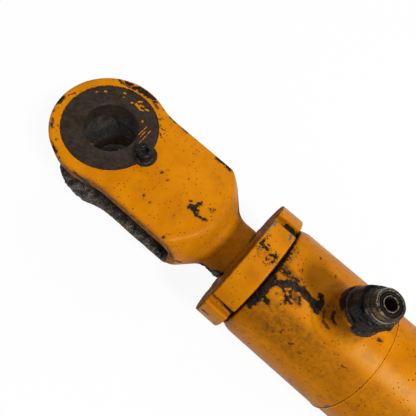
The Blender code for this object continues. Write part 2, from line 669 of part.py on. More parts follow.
def add_port(target, frame, prefix, finish):
    """Join a boss on to a barrel piece, then drill and counterbore its port."""
    boolean(target, mesh_object(prefix + "_boss_tool", boss_mesh(), finish, frame), "UNION")
    thread = PORT_THREAD_DIAMETER / 2
    drill = PORT_DRILLING / 2
    boolean(target, mesh_object(prefix + "_port_tool", lathe([
        (BORE_RADIUS - 2 * BITE, 0), (BORE_RADIUS - 2 * BITE, drill), (PORT_THREAD_FOOT, drill),
        (PORT_THREAD_FOOT, thread), (BOSS_TOP - PORT_SEAT_WIDTH, thread),
        (BOSS_TOP, thread + PORT_SEAT_WIDTH),
        (BOSS_TOP + BITE, thread + PORT_SEAT_WIDTH), (BOSS_TOP + BITE, 0)],
        SMALL_STEPS, Z_AXIS), finish, frame))


def build_adapter(name, steel, frame):
    """Turned adapter: sealed stud, collar, hexagon, ledge and a face-seal nose."""
    bore = ADAPTER_BORE_RADIUS
    stud = PORT_THREAD_DIAMETER / 2 - SEAT_GAP
    waist = stud - EDGE_CHAMFER
    corner = corner_radius(ADAPTER_HEX)
    flat = ADAPTER_HEX / 2 - HEX_CORNER_CHAMFER
    collar_top = COLLAR_FOOT + COLLAR_HEIGHT
    profile = [
        (BOSS_TOP - STUD_LENGTH, bore), (BOSS_TOP - STUD_LENGTH, stud - EDGE_CHAMFER),
        (BOSS_TOP - STUD_LENGTH + EDGE_CHAMFER, stud), (BOSS_TOP - PORT_SEAT_WIDTH, stud),
        (BOSS_TOP - PORT_SEAT_WIDTH, waist), (COLLAR_FOOT, waist),
        (COLLAR_FOOT, COLLAR_RADIUS), (collar_top - COLLAR_GROOVE / 2, COLLAR_RADIUS),
        (collar_top, COLLAR_RADIUS - COLLAR_GROOVE / 2), (collar_top, flat - COLLAR_GROOVE),
        (HEX_FOOT, flat - COLLAR_GROOVE), (HEX_FOOT, flat),
        (HEX_FOOT + ADAPTER_HEX_CHAMFER, corner), (HEX_TOP - ADAPTER_HEX_CHAMFER, corner),
        (HEX_TOP, flat), (HEX_TOP, ADAPTER_NECK_RADIUS),
        (LEDGE_FOOT, ADAPTER_NECK_RADIUS), (LEDGE_FOOT, ADAPTER_LEDGE_RADIUS),
        (NOSE_FOOT, ADAPTER_LEDGE_RADIUS), (NOSE_FOOT, NOSE_RADIUS),
        (NOSE_FACE - NOSE_CHAMFER, NOSE_RADIUS), (NOSE_FACE, NOSE_RADIUS - NOSE_CHAMFER),
        (NOSE_FACE, FACE_GROOVE_OUTER), (NOSE_FACE - FACE_GROOVE_DEPTH, FACE_GROOVE_OUTER),
        (NOSE_FACE - FACE_GROOVE_DEPTH, FACE_GROOVE_INNER), (NOSE_FACE, FACE_GROOVE_INNER),
        (NOSE_FACE, bore)]
    adapter = mesh_object(name, lathe(profile, SMALL_STEPS, Z_AXIS), steel, frame)
    boolean(adapter, hex_trim(name + "_hex_tool", ADAPTER_HEX, HEX_FOOT, HEX_TOP, steel, frame,
                              ADAPTER_HEX_TURN))


def build_port_fittings(prefix, frame, steel, seal):
    build_adapter(prefix + "_adapter", steel, frame)
    waist = PORT_THREAD_DIAMETER / 2 - SEAT_GAP - EDGE_CHAMFER
    section = STUD_SEAL_SECTION
    mesh_object(prefix + "_stud_seal", lathe(round_profile(
        BOSS_TOP - section / 2, waist + SEAT_GAP / 2 + section / 2, section, 5),
        SMALL_STEPS, Z_AXIS), seal, frame)
    section = FACE_SEAL_SECTION - SEAT_GAP
    mesh_object(prefix + "_face_seal", lathe(round_profile(
        NOSE_FACE - FACE_GROOVE_DEPTH + SEAT_GAP / 2 + section / 2,
        FACE_GROOVE_OUTER - SEAT_GAP / 2 - section / 2, section, 6),
        SMALL_STEPS, Z_AXIS), seal, frame)


def build_barrel(paint, steel, seal, parent):
    """Forged head with its port, and the plain tube with a weld bead at each end."""
    thread = GLAND_THREAD_RADIUS + SEAT_GAP
    step = GLAND_FACE - GLAND_THREAD_END - 2 * SEAT_GAP
    head = mesh_object("barrel_head", lathe([
        (HEAD_SEAM, BORE_RADIUS), (HEAD_SEAM, HEAD_RADIUS),
        (HEAD_FACE - HEAD_CHAMFER_RUN, HEAD_RADIUS),
        (HEAD_FACE, HEAD_RADIUS - HEAD_CHAMFER_RISE), (HEAD_FACE, thread), (step, thread),
        (step, BORE_RADIUS)], BIG_STEPS), paint, parent)
    front = port_frame("front_port_frame", FRONT_PORT, parent)
    add_port(head, front, "front", paint)
    build_port_fittings("front", front, steel, seal)

    bead = TUBE_RADIUS + WELD_RISE
    low, high = BASE_SEAM + SEAT_GAP, HEAD_SEAM - SEAT_GAP
    mesh_object("barrel_tube", lathe([
        (low, BORE_RADIUS), (low, bead - WELD_RISE / 2), (low + WELD_WIDTH / 2, bead),
        (low + WELD_WIDTH, TUBE_RADIUS), (high - WELD_WIDTH, TUBE_RADIUS),
        (high - WELD_WIDTH / 2, bead),
        (high, bead - WELD_RISE / 2), (high, BORE_RADIUS)], BIG_STEPS), paint, parent)


def build_base(paint, steel, seal, parent):
    """Base forging: bearing eye, conical shoulder, closed end and rear port."""
    base = mesh_object("base_eye", lathe([
        (CAP_CORE_START, 0), (CAP_CORE_START, CAP_CORE_RADIUS), (CAP_RIM, HEAD_RADIUS),
        (BASE_SEAM, HEAD_RADIUS), (BASE_SEAM, BORE_RADIUS), (CAP_INNER_FACE, BORE_RADIUS),
        (CAP_INNER_FACE, 0)], BIG_STEPS), paint, parent)
    half = BASE_EYE_THICKNESS / 2
    reach = (CAP_RIM + CAP_INNER_FACE) / 2
    eye = mesh_object("base_eye_plate_tool", prism(eye_outline(
        BASE_EYE_RADIUS, BASE_EYE_WIDTH, BASE_BLEND, reach), -half, half), paint, parent)
    eye.rotation_euler = (0, 0, math.radians(180))
    bevel_edges(eye, BASE_EDGE_ROUND)
    boolean(base, eye, "UNION")

    clip_low = BEARING_WIDTH / 2 + SEAT_GAP / 2
    clip_high = clip_low + CLIP_THICKNESS + SEAT_GAP
    deep = BEARING_RADIUS + CLIP_GROOVE_DEPTH
    mouth = BEARING_RADIUS + BASE_MOUTH_CHAMFER + BITE
    inside = half - BASE_MOUTH_CHAMFER
    bore = [(-half - BITE, 0), (-half - BITE, mouth), (-inside, BEARING_RADIUS)]
    for low, high in ((-clip_high, -clip_low), (clip_low, clip_high)):
        bore += groove_points(low, high - low, BEARING_RADIUS, deep)
    bore += [(inside, BEARING_RADIUS), (half + BITE, mouth), (half + BITE, 0)]
    boolean(base, mesh_object("base_bearing_tool", lathe(bore, SEAL_STEPS, Z_AXIS), paint, parent))

    nipple_hole = NIPPLE_THREAD / 2 + SEAT_GAP
    nipple_pad = NIPPLE_HEX / 2 + NIPPLE_SEAT_ROOM
    seat = BASE_EYE_RADIUS - NIPPLE_SEAT_DEPTH
    foot = seat - NIPPLE_DEPTH - BITE / 2
    inner = BEARING_RADIUS - BITE
    greasing = mesh_object("base_grease_tool", lathe([
        (inner, 0), (inner, GREASE_DRILLING / 2), (foot, GREASE_DRILLING / 2), (foot, nipple_hole),
        (seat, nipple_hole), (seat, nipple_pad), (seat + 2 * BITE, nipple_pad),
        (seat + 2 * BITE, 0)], SMALL_STEPS), paint, parent)
    greasing.rotation_euler = (0, 0, math.radians(180))
    boolean(base, greasing)
    build_grease_nipple(seat + SEAT_GAP, steel, parent)

    rear = port_frame("rear_port_frame", REAR_PORT, parent)
    add_port(base, rear, "rear", paint)
    build_port_fittings("rear", rear, steel, seal)


def build_grease_nipple(seat, steel, parent):
    """Grease nipple screwed into the end of the base eye."""
    hex_top = seat + NIPPLE_HEX_HEIGHT
    tip = seat + NIPPLE_HEIGHT
    corner = corner_radius(NIPPLE_HEX)
    thread = NIPPLE_THREAD / 2
    nipple = mesh_object("grease_nipple", lathe([
        (seat - NIPPLE_DEPTH, 0), (seat - NIPPLE_DEPTH, thread), (seat, thread), (seat, corner),
        (hex_top - NIPPLE_CHAMFER, corner), (hex_top, corner - NIPPLE_CHAMFER),
        (hex_top, NIPPLE_HEAD), (tip - NIPPLE_HEAD_LENGTH - NIPPLE_FLARE, NIPPLE_WAIST),
        (tip - NIPPLE_HEAD_LENGTH, NIPPLE_HEAD), (tip - NIPPLE_CONE, NIPPLE_HEAD),
        (tip, NIPPLE_TIP_RADIUS), (tip, 0)], SMALL_STEPS), steel, parent)
    nipple.rotation_euler = (0, 0, math.radians(180))
    trim = hex_trim("nipple_hex_tool", NIPPLE_HEX, seat, hex_top, steel, parent)
    trim.rotation_euler = (0, math.radians(-90), 0)
    boolean(nipple, trim)


def build_bearing(steel, barrel, ball_frame):
    """Spherical plain bearing held in the base eye by two spring rings."""
    half = BEARING_WIDTH / 2
    inside = BALL_RADIUS + RACE_GAP
    edge = math.degrees(math.asin(half / inside))
    race = [(-half, BEARING_RADIUS - SEAT_GAP), (half, BEARING_RADIUS - SEAT_GAP)]
    race += [(y, x) for x, y in arc((0, 0), inside, edge, -edge, 6)]
    mesh_object("bearing_race", lathe(race, SEAL_STEPS, Z_AXIS), steel, barrel)

    end = BALL_WIDTH / 2
    pin = BASE_PIN_DIAMETER / 2
    edge = math.degrees(math.asin(end / BALL_RADIUS))
    ball = [(-end, pin + BALL_CHAMFER), (-end + BALL_CHAMFER, pin), (end - BALL_CHAMFER, pin),
            (end, pin + BALL_CHAMFER)]
    ball += [(y, x) for x, y in arc((0, 0), BALL_RADIUS, edge, -edge, 6)]
    mesh_object("bearing_ball", lathe(ball, SEAL_STEPS, Z_AXIS), steel, ball_frame)

    for name, side in (("upper_spring_ring", 1), ("lower_spring_ring", -1)):
        build_spring_ring(name, side, steel, barrel)


def build_spring_ring(name, side, steel, parent):
    """Internal spring ring with two drilled lugs, sprung out into its groove."""
    outer = BEARING_RADIUS + CLIP_GROOVE_DEPTH - SEAT_GAP
    inner = outer - CLIP_BAND
    lug_inner = outer - CLIP_LUG
    gap = CLIP_OPENING / 2
    lug = gap + CLIP_LUG_ANGLE
    outline = arc((0, 0), outer, gap, 360 - gap, 22)
    outline += arc((0, 0), lug_inner, 360 - gap, 360 - lug, 2)
    outline += arc((0, 0), inner, 360 - lug, lug, 20)
    outline += arc((0, 0), lug_inner, lug, gap, 2)
    low = BEARING_WIDTH / 2 + SEAT_GAP
    low, high = sorted((side * low, side * (low + CLIP_THICKNESS)))
    ring = mesh_object(name, prism(outline, low, high), steel, parent)
    for hand in (1, -1):
        turn = math.radians(hand * (gap + CLIP_LUG_ANGLE / 2))
        middle = outer - CLIP_HOLE_INSET
        tool = mesh_object("%s_hole_tool_%s" % (name, "left" if hand > 0 else "right"), lathe([
            (low - BITE, 0), (low - BITE, CLIP_HOLE_RADIUS), (high + BITE, CLIP_HOLE_RADIUS),
            (high + BITE, 0)], HOLE_STEPS, Z_AXIS), steel, parent)
        tool.location = Vector((math.cos(turn), math.sin(turn), 0)) * middle * MM
        boolean(ring, tool)


def main():
    clear_scene()
    paint = material("yellow_paint", (0.775, 0.283, 0.004), 0.42, 0.0)
    steel = material("dark_steel", (0.10, 0.09, 0.08), 0.45, 0.9)
    bright = material("bearing_steel", (0.45, 0.44, 0.42), 0.3, 1.0)
    chrome = material("rod_chrome", (0.75, 0.76, 0.78), 0.08, 1.0)
    seal = material("seal_rubber", (0.02, 0.02, 0.02), 0.6, 0.0)
    guide = material("guide_ring_plastic", (0.12, 0.22, 0.14), 0.5, 0.0)

    barrel = empty("barrel_frame")
    seals = empty("piston_seal_frame")
    rod = empty("rod_frame")
    fork = empty("fork_pin_frame", (FORK_PIN, 0, 0), rod)
    ball = empty("bearing_ball_frame")

    build_base(paint, steel, seal, barrel)
    build_barrel(paint, steel, seal, barrel)
    build_gland(paint, seal, guide, barrel)
    build_bearing(bright, barrel, ball)
    build_rod(chrome, rod)
    build_piston(steel, seal, guide, rod, seals)
    build_fork(paint, fork)
    build_lock_screw(steel, fork)


main()
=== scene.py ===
"""Looks of the steering cylinder: worn yellow paint, grease, bare steel, and the studio.

Everything is in the part's own frame. Sizes are millimetres unless a name says otherwise, and
meshes are scaled to metres as they are made. The large forms are skinned from distance fields,
which are negative inside a body, so that every edge has the soft round of a forging.
"""
import math

import bmesh
import bpy
import numpy as np
from mathutils import Matrix, Vector

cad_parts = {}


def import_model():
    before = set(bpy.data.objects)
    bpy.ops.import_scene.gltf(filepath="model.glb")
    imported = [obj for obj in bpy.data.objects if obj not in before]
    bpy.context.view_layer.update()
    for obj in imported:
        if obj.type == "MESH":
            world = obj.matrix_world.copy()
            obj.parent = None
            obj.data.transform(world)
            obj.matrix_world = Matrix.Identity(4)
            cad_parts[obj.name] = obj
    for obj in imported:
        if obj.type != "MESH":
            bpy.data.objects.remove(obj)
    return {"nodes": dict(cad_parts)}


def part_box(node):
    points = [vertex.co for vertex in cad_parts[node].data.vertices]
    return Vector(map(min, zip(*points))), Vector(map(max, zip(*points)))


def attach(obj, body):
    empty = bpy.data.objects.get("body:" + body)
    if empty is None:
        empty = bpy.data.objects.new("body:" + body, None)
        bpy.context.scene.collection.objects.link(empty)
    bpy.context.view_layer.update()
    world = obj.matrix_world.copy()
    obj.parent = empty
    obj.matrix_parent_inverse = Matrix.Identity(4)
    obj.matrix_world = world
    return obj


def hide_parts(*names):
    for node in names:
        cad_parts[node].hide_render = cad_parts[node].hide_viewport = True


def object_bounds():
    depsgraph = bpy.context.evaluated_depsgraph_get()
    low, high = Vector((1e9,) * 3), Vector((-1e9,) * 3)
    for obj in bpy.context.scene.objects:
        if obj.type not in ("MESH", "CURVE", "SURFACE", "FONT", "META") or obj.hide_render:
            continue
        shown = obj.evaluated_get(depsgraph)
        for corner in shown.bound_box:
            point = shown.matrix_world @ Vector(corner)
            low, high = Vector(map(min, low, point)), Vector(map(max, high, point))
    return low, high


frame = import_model()
cad_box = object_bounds()

MM = 0.001


def low_high(node):
    """A node's box in millimetres."""
    low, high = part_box(node)
    return np.array(low) / MM, np.array(high) / MM


# Places read from the frame
FORK_LOW, FORK_HIGH = low_high("rod_fork")
GLAND_LOW, GLAND_HIGH = low_high("gland")
HEAD_LOW, HEAD_HIGH = low_high("barrel_head")
BASE_LOW, BASE_HIGH = low_high("base_eye")
SCREW_LOW, SCREW_HIGH = low_high("fork_lock_screw")
WASHER_LOW, WASHER_HIGH = low_high("fork_lock_washer")
ROD_LOW, ROD_HIGH = low_high("piston_rod")

# Fork
EYE_RADIUS = FORK_HIGH[1]
PIN_X = FORK_HIGH[0] - EYE_RADIUS
NECK_END = FORK_LOW[0]
FORK_HALF = FORK_HIGH[2]
FORK_SIDE = 43.7
EYE_BLEND = 60.0
FORK_EDGE = 3.2
SHOULDER_EDGE = 2.6
SHOULDER_END = 131.8
SLOT_HALF = 20.5
SLOT_DEPTH = 105.0
SLOT_ROUND = 8.0
SLOT_EDGE = 1.6
NECK_RADIUS = 26.3
NECK_FILLET = 5.0
FAR_EAR_INSET = 1.2
PIN_RADIUS = 22.5
PIN_CHAMFER = 1.2
SPOTFACE_RADIUS = 40.5
SPOTFACE_DEPTH = 0.8
SCREW_X = (SCREW_LOW[0] + SCREW_HIGH[0]) / 2
SCREW_PAD = 10.5

# Gland
GLAND_FACE = GLAND_HIGH[0]
GLAND_END = GLAND_LOW[0]
GLAND_RADIUS = GLAND_HIGH[1]
GLAND_FLANGE = 22.1
GLAND_EDGE = 1.1
GLAND_SLOT_WIDTH = 11.0
GLAND_SLOT_DEPTH = 7.0
GLAND_SLOT_TURN = 29.4
GLAND_THREAD_RADIUS = 47.2
GLAND_THREAD_END = 54.0
GLAND_PILOT_RADIUS = 44.7
GLAND_PILOT_END = 72.8
GLAND_SNOUT_RADIUS = 37.0
WIPER_RADIUS = 31.65
WIPER_DEPTH = 8.0
ROD_RADIUS = 25.0
ROD_HOLE_RADIUS = 25.35

# Barrel
HEAD_RADIUS = HEAD_HIGH[1]
HEAD_FACE = HEAD_HIGH[0]
HEAD_SEAM = HEAD_LOW[0]
HEAD_CHAMFER_RISE = 3.0
HEAD_CHAMFER_RUN = 6.0
BASE_SEAM = BASE_HIGH[0]
BORE_RADIUS = 45.0
TUBE_RADIUS = 53.3
WELD_RISE = 1.6
WELD_WIDTH = 2.4
SEAM_TUCK = 0.8

# Ports
PORT_LEAN = math.radians(1.8)
FRONT_PORT = 538.9
REAR_PORT = 92.0
BOSS_RADIUS = 16.5
BOSS_TOP = 80.5
BOSS_FILLET = 9.0
BOSS_LIP = 0.7
PORT_HOLE_RADIUS = 11.0
PORT_HOLE_FLOOR = 63.5


# Distance fields

def smooth(value, low, high):
    share = np.clip((value - low) / (high - low), 0, 1)
    return share * share * (3 - 2 * share)


def join_round(a, b, radius):
    """Union with a fillet."""
    near = np.hypot(np.maximum(radius - a, 0), np.maximum(radius - b, 0))
    return np.maximum(radius, np.minimum(a, b)) - near


def meet_round(a, b, radius):
    """Intersection with a rounded edge."""
    near = np.hypot(np.maximum(radius + a, 0), np.maximum(radius + b, 0))
    return np.minimum(-radius, np.maximum(a, b)) + near


def cut_round(a, b, radius):
    """Body a less body b, with a rounded edge."""
    return meet_round(a, -b, radius)


def slab(height, low, high):
    return np.maximum(low - height, height - high)


def eye_plan(x, y, eye, side, blend):
    """Plan of an eye at the origin with hollow blends into straight sides towards -X."""
    across = np.abs(y)
    centre_x = math.sqrt((eye + blend) ** 2 - (side + blend) ** 2)
    touch = -centre_x * eye / (eye + blend)
    round_end = np.hypot(x, y) - eye
    hollow = blend - np.hypot(x + centre_x, across - side - blend)
    straight = across - side
    return np.where(x > touch, round_end, np.where(x > -centre_x, hollow, straight))


def fork_surfaces(x, y, z):
    """The fork's plan, its two faces and its turned shoulder, as three fields."""
    back = x - PIN_X
    plan = eye_plan(back, y, EYE_RADIUS, FORK_SIDE, EYE_BLEND)
    plan = plan + FAR_EAR_INSET * smooth(-z, 14, 34)
    faces = np.abs(z) - FORK_HALF
    rho = np.hypot(y, z)
    cone = (rho - NECK_RADIUS - SHOULDER_END - back) / math.sqrt(2)
    turned = join_round(cone, rho - NECK_RADIUS, NECK_FILLET)
    return plan, faces, turned


def fork_field(x, y, z):
    plan, faces, turned = fork_surfaces(x, y, z)
    body = meet_round(plan, faces, FORK_EDGE)
    body = meet_round(body, turned, SHOULDER_EDGE)
    body = meet_round(body, NECK_END - x, 1.0)
    deep = PIN_X - SLOT_DEPTH + SLOT_ROUND - x
    wall = np.abs(z) - SLOT_HALF + SLOT_ROUND
    slot = np.hypot(np.maximum(deep, 0), np.maximum(wall, 0)) - SLOT_ROUND
    slot = slot + np.minimum(np.maximum(deep, wall), 0)
    return cut_round(body, slot, SLOT_EDGE)


def port_local(x, y, z, port_x):
    """Along the cylinder, across it, and up the port's axis."""
    across = y * math.cos(PORT_LEAN) + z * math.sin(PORT_LEAN)
    height = z * math.cos(PORT_LEAN) - y * math.sin(PORT_LEAN)
    return x - port_x, across, height


def boss_parts(x, y, z, port_x):
    """Distance from a port's axis, and height along it."""
    u, v, height = port_local(x, y, z, port_x)
    return np.hypot(u, v), height


def add_boss(body, x, y, z, port_x):
    """A drilled round boss that flares into the barrel and ends in a fine lip there."""
    radial, height = boss_parts(x, y, z, port_x)
    boss = meet_round(radial - BOSS_RADIUS, height - BOSS_TOP, 1.0)
    boss = np.maximum(boss, BORE_RADIUS + 2 - height)
    plate = np.maximum(radial - BOSS_RADIUS - BOSS_FILLET, BORE_RADIUS - 10 - height)
    plate = meet_round(plate, np.hypot(y, z) - HEAD_RADIUS - BOSS_LIP, BOSS_LIP)
    body = join_round(join_round(body, plate, 0.5), boss, BOSS_FILLET)
    return np.maximum(body, -np.maximum(radial - PORT_HOLE_RADIUS, PORT_HOLE_FLOOR - height))


def head_field(x, y, z):
    rho = np.hypot(y, z)
    slope = math.hypot(HEAD_CHAMFER_RISE, HEAD_CHAMFER_RUN)
    chamfer = (x - HEAD_FACE) * HEAD_CHAMFER_RISE
    chamfer = chamfer + (rho - HEAD_RADIUS + HEAD_CHAMFER_RISE) * HEAD_CHAMFER_RUN
    body = meet_round(rho - HEAD_RADIUS, chamfer / slope, 2.0)
    body = meet_round(body, x - HEAD_FACE, 1.0)
    body = np.maximum(body, HEAD_SEAM - SEAM_TUCK - x)
    body = add_boss(body, x, y, z, FRONT_PORT)
    body = np.maximum(body, BORE_RADIUS - rho)
    thread = np.maximum(rho - GLAND_THREAD_RADIUS - 0.3, GLAND_FACE - GLAND_THREAD_END - 0.6 - x)
    return np.maximum(body, -thread)


def gland_field(x, y, z):
    rho = np.hypot(y, z)
    flange = meet_round(rho - GLAND_RADIUS, slab(x, GLAND_FACE - GLAND_FLANGE, GLAND_FACE), GLAND_EDGE)
    for number in range(4):
        turn = math.radians(GLAND_SLOT_TURN + 90 * number)
        out = z * math.cos(turn) - y * math.sin(turn)
        across = np.abs(y * math.cos(turn) + z * math.sin(turn)) - GLAND_SLOT_WIDTH / 2
        slot = meet_round(across, GLAND_RADIUS - GLAND_SLOT_DEPTH - out, 0.8)
        flange = cut_round(flange, slot, 0.9)
    for radius, end in ((GLAND_THREAD_RADIUS, GLAND_THREAD_END),
                        (GLAND_PILOT_RADIUS, GLAND_PILOT_END),
                        (GLAND_SNOUT_RADIUS, GLAND_FACE - GLAND_END)):
        barrel = np.maximum(rho - radius, slab(x, GLAND_FACE - end, GLAND_FACE - 1))
        flange = np.minimum(flange, barrel)
    body = cut_round(flange, rho - ROD_HOLE_RADIUS, 0.6)
    wiper_seat = np.maximum(rho - WIPER_RADIUS, GLAND_FACE - WIPER_DEPTH - x)
    return cut_round(body, wiper_seat, 0.9)


# Base end: a plain eye that mirrors what the fork end shows

BASE_EYE_RADIUS = -BASE_LOW[0]
BASE_EYE_HALF = 19.0
BASE_SIDE = 44.0
BEARING_RADIUS = 34.0
BALL_RADIUS = 30.0
RACE_RADIUS = 30.35
CAP_START = 38.0
CAP_CORE = 27.0
CAP_FLOOR_X = 80.0
NIPPLE_SEAT = 49.0
NIPPLE_SEAT_RADIUS = 7.0


def base_field(x, y, z):
    rho = np.hypot(y, z)
    plan = eye_plan(-x, y, BASE_EYE_RADIUS, BASE_SIDE, EYE_BLEND)
    eye = meet_round(plan, np.abs(z) - BASE_EYE_HALF, 3.0)
    eye = np.maximum(eye, x - CAP_FLOOR_X + 6)
    cone = (rho - CAP_CORE - x + CAP_START) / math.sqrt(2)
    cap = meet_round(np.maximum(rho - HEAD_RADIUS, x - BASE_SEAM - SEAM_TUCK), cone, 4.0)
    cap = meet_round(cap, CAP_START - x, 1.5)
    body = join_round(eye, cap, 5.0)
    body = add_boss(body, x, y, z, REAR_PORT)
    body = np.maximum(body, -np.maximum(rho - BORE_RADIUS, CAP_FLOOR_X - x))
    body = cut_round(body, np.hypot(x, y) - BEARING_RADIUS, 1.0)
    return np.maximum(body, -np.maximum(rho - NIPPLE_SEAT_RADIUS, x + NIPPLE_SEAT))


# Meshing

# The grid starts off the round numbers, so that flat faces seldom lie right on its points
GRID_START = 2.37

# Half the distance over which a field's slope is measured
PROBE = 0.05
FORGING_SHARP = math.radians(42)


def surface_net(values, origin, cell):
    """Vertices, one for each grid cell that the surface crosses, and the quads between them."""
    inside = values < 0
    corners = list(np.ndindex(2, 2, 2))
    size = np.array(values.shape) - 1
    windows = [inside[i:i + size[0], j:j + size[1], k:k + size[2]] for i, j, k in corners]
    filled = sum(window.astype(np.int8) for window in windows)
    active = (filled > 0) & (filled < 8)
    index = np.full(active.shape, -1)
    index[active] = np.arange(np.count_nonzero(active))
    cells = np.argwhere(active)
    total = np.zeros((len(cells), 3))
    hits = np.zeros(len(cells))
    for start in corners:
        for axis in range(3):
            if start[axis]:
                continue
            end = np.array(start)
            end[axis] = 1
            first = values[tuple((cells + start).T)]
            last = values[tuple((cells + end).T)]
            crossed = (first < 0) != (last < 0)
            share = first[crossed] / (first[crossed] - last[crossed])
            point = np.tile(np.array(start, float), (len(share), 1))
            point[:, axis] = share
            total[crossed] += point
            hits[crossed] += 1
    points = origin + (cells + total / hits[:, None]) * cell
    quads = []
    for axis in range(3):
        first, second = (axis + 1) % 3, (axis + 2) % 3
        here = np.take(inside, np.arange(inside.shape[axis] - 1), axis)
        ahead = np.take(inside, np.arange(1, inside.shape[axis]), axis)
        for crossing, order in ((here & ~ahead, (0, 1, 2, 3)), (~here & ahead, (3, 2, 1, 0))):
            edges = np.argwhere(crossing)
            step_a, step_b = np.zeros(3, int), np.zeros(3, int)
            step_a[first] = 1
            step_b[second] = 1
            around = [edges - step_a - step_b, edges - step_b, edges, edges - step_a]
            quads.append(np.stack([index[tuple(around[n].T)] for n in order], -1))
    return points, np.concatenate(quads)


def skin(name, field, low, high, cell):
    """Mesh a field's zero surface, with each vertex moved on to the true surface."""
    origin = np.array(low, float) - GRID_START * cell
    axes = [np.arange(start, end + 3 * cell, cell) for start, end in zip(origin, high)]
    x, y, z = np.meshgrid(*axes, indexing="ij", sparse=True)
    shape = [len(axis) for axis in axes]
    values = np.broadcast_to(field(x, y, z), shape).astype(np.float32)
    core = values[1:-1, 1:-1, 1:-1]
    values = np.pad(core, 1, constant_values=cell)
    points, quads = surface_net(values, origin, cell)
    for _ in range(4):
        distance = field(*points.T)
        slope = np.stack([field(*(points + way).T) - field(*(points - way).T)
                          for way in PROBE * np.eye(3)], -1) / (2 * PROBE)
        reach = np.maximum((slope ** 2).sum(-1), 0.3)
        move = -(distance / reach)[:, None] * slope
        points += np.clip(move, -0.4 * cell, 0.4 * cell)
    return mesh_from(name, points, quads.tolist())


def mesh_from(name, points, faces):
    mesh = bpy.data.meshes.new(name)
    mesh.from_pydata((points * MM).tolist(), [], faces)
    mesh.update()
    mesh.shade_smooth()
    made = bpy.data.objects.new(name, mesh)
    bpy.context.scene.collection.objects.link(made)
    return made


def spread(profile, longest):
    """Add points along a profile so that no step is longer than given."""
    out = [profile[0]]
    for start, end in zip(profile, profile[1:]):
        pieces = max(1, math.ceil(math.dist(start, end) / longest))
        for step in range(1, pieces + 1):
            share = step / pieces
            out.append((start[0] + (end[0] - start[0]) * share,
                        start[1] + (end[1] - start[1]) * share))
    return out


def turned(name, profile, steps, axis="X", sharp=30):
    """Turn a closed (along, radius) profile about an axis through the origin."""
    turns = np.arange(steps) * math.tau / steps
    points, rings = [], []
    for along, radius in profile:
        on_axis = radius < 1e-6
        rings.append((len(points), on_axis))
        if on_axis:
            points.append((along, 0.0, 0.0))
        else:
            points += [(along, radius * math.cos(turn), radius * math.sin(turn)) for turn in turns]
    faces = []
    pairs = list(zip(rings, rings[1:]))
    if not any(on_axis for _, on_axis in rings):
        pairs.append((rings[-1], rings[0]))
    for (low, low_axis), (high, high_axis) in pairs:
        if low_axis and high_axis:
            continue
        for step in range(steps):
            ahead = (step + 1) % steps
            if low_axis:
                faces.append((low, high + ahead, high + step))
            elif high_axis:
                faces.append((low + step, low + ahead, high))
            else:
                faces.append((low + step, low + ahead, high + ahead, high + step))
    points = np.array(points)
    if axis == "Z":
        points = points[:, [1, 2, 0]]
    made = mesh_from(name, points, faces)
    bm = bmesh.new()
    bm.from_mesh(made.data)
    bmesh.ops.recalc_face_normals(bm, faces=bm.faces)
    bm.to_mesh(made.data)
    bm.free()
    made.data.set_sharp_from_angle(angle=math.radians(sharp))
    return made


def cut(target, tool):
    """Cut a tool out of a piece and delete the tool."""
    change = target.modifiers.new("cut", "BOOLEAN")
    change.operation = "DIFFERENCE"
    change.solver = "MANIFOLD"
    change.object = tool
    depsgraph = bpy.context.evaluated_depsgraph_get()
    mesh = bpy.data.meshes.new_from_object(target.evaluated_get(depsgraph))
    target.modifiers.remove(change)
    target.data = mesh
    bpy.data.objects.remove(tool)


def place(thing, x):
    thing.data.transform(Matrix.Translation(Vector((x, 0, 0)) * MM))


def corners(thing):
    """Vertex places in millimetres."""
    flat = np.zeros(len(thing.data.vertices) * 3, np.float32)
    thing.data.vertices.foreach_get("co", flat)
    return flat.reshape(-1, 3).astype(float) / MM


LATTICE = 32

# A mark's depth far away from it, and the most that speckle reaches, so only noise peaks chip
FAR = -12.0
SPECKLE_DEPTH = -0.75
LIGHT_DIRT = 0.30


def lumps(points, size, seed):
    """Smooth random values from -1 to 1, with one lattice step to each size."""
    table = np.random.default_rng(seed).uniform(-1, 1, (LATTICE,) * 3)
    scaled = points / size
    base = np.floor(scaled).astype(int)
    part = scaled - base
    part = part * part * (3 - 2 * part)
    total = np.zeros(len(points))
    for corner in np.ndindex(2, 2, 2):
        weight = np.prod(np.where(corner, part, 1 - part), axis=1)
        total += weight * table[tuple(((base + corner) % LATTICE).T)]
    return total


def at(value, points):
    """A number or values as given, or a function of x, y and z worked out at the points."""
    return value(*points.T) if callable(value) else value


def write_attribute(thing, name, value):
    attribute = thing.data.attributes.new(name, "FLOAT", "POINT")
    values = np.broadcast_to(at(value, corners(thing)), len(thing.data.vertices))
    attribute.data.foreach_set("value", values.astype(np.float32))


def strokes_distance(points, strokes, far=FAR):
    """How deep each point lies inside the nearest stroke; a stroke is (radius, places)."""
    best = np.full(len(points), far)
    for radius, places in strokes:
        places = [np.array(place, float) for place in places]
        for start, end in zip(places, places[1:] or places):
            along = end - start
            length = max(along @ along, 1e-9)
            share = np.clip((points - start) @ along / length, 0, 1)
            gap = np.linalg.norm(points - start - share[:, None] * along, axis=1)
            best = np.maximum(best, radius - gap)
    return best


# Places on the cylinder, as distances from the fork's pin towards the base

def from_pin(along, right, up=FORK_HALF):
    """A place measured along the cylinder from the pin, to its right, and up."""
    return (PIN_X - along, -right, up)


def on_round(along, degrees, radius=HEAD_RADIUS):
    """A place on a round part, turned to the right from straight up."""
    turn = math.radians(degrees)
    return from_pin(along, radius * math.sin(turn), radius * math.cos(turn))


def strokes(place_maker, *rows):
    return [(radius, [place_maker(*place) for place in places]) for radius, *places in rows]


# Materials

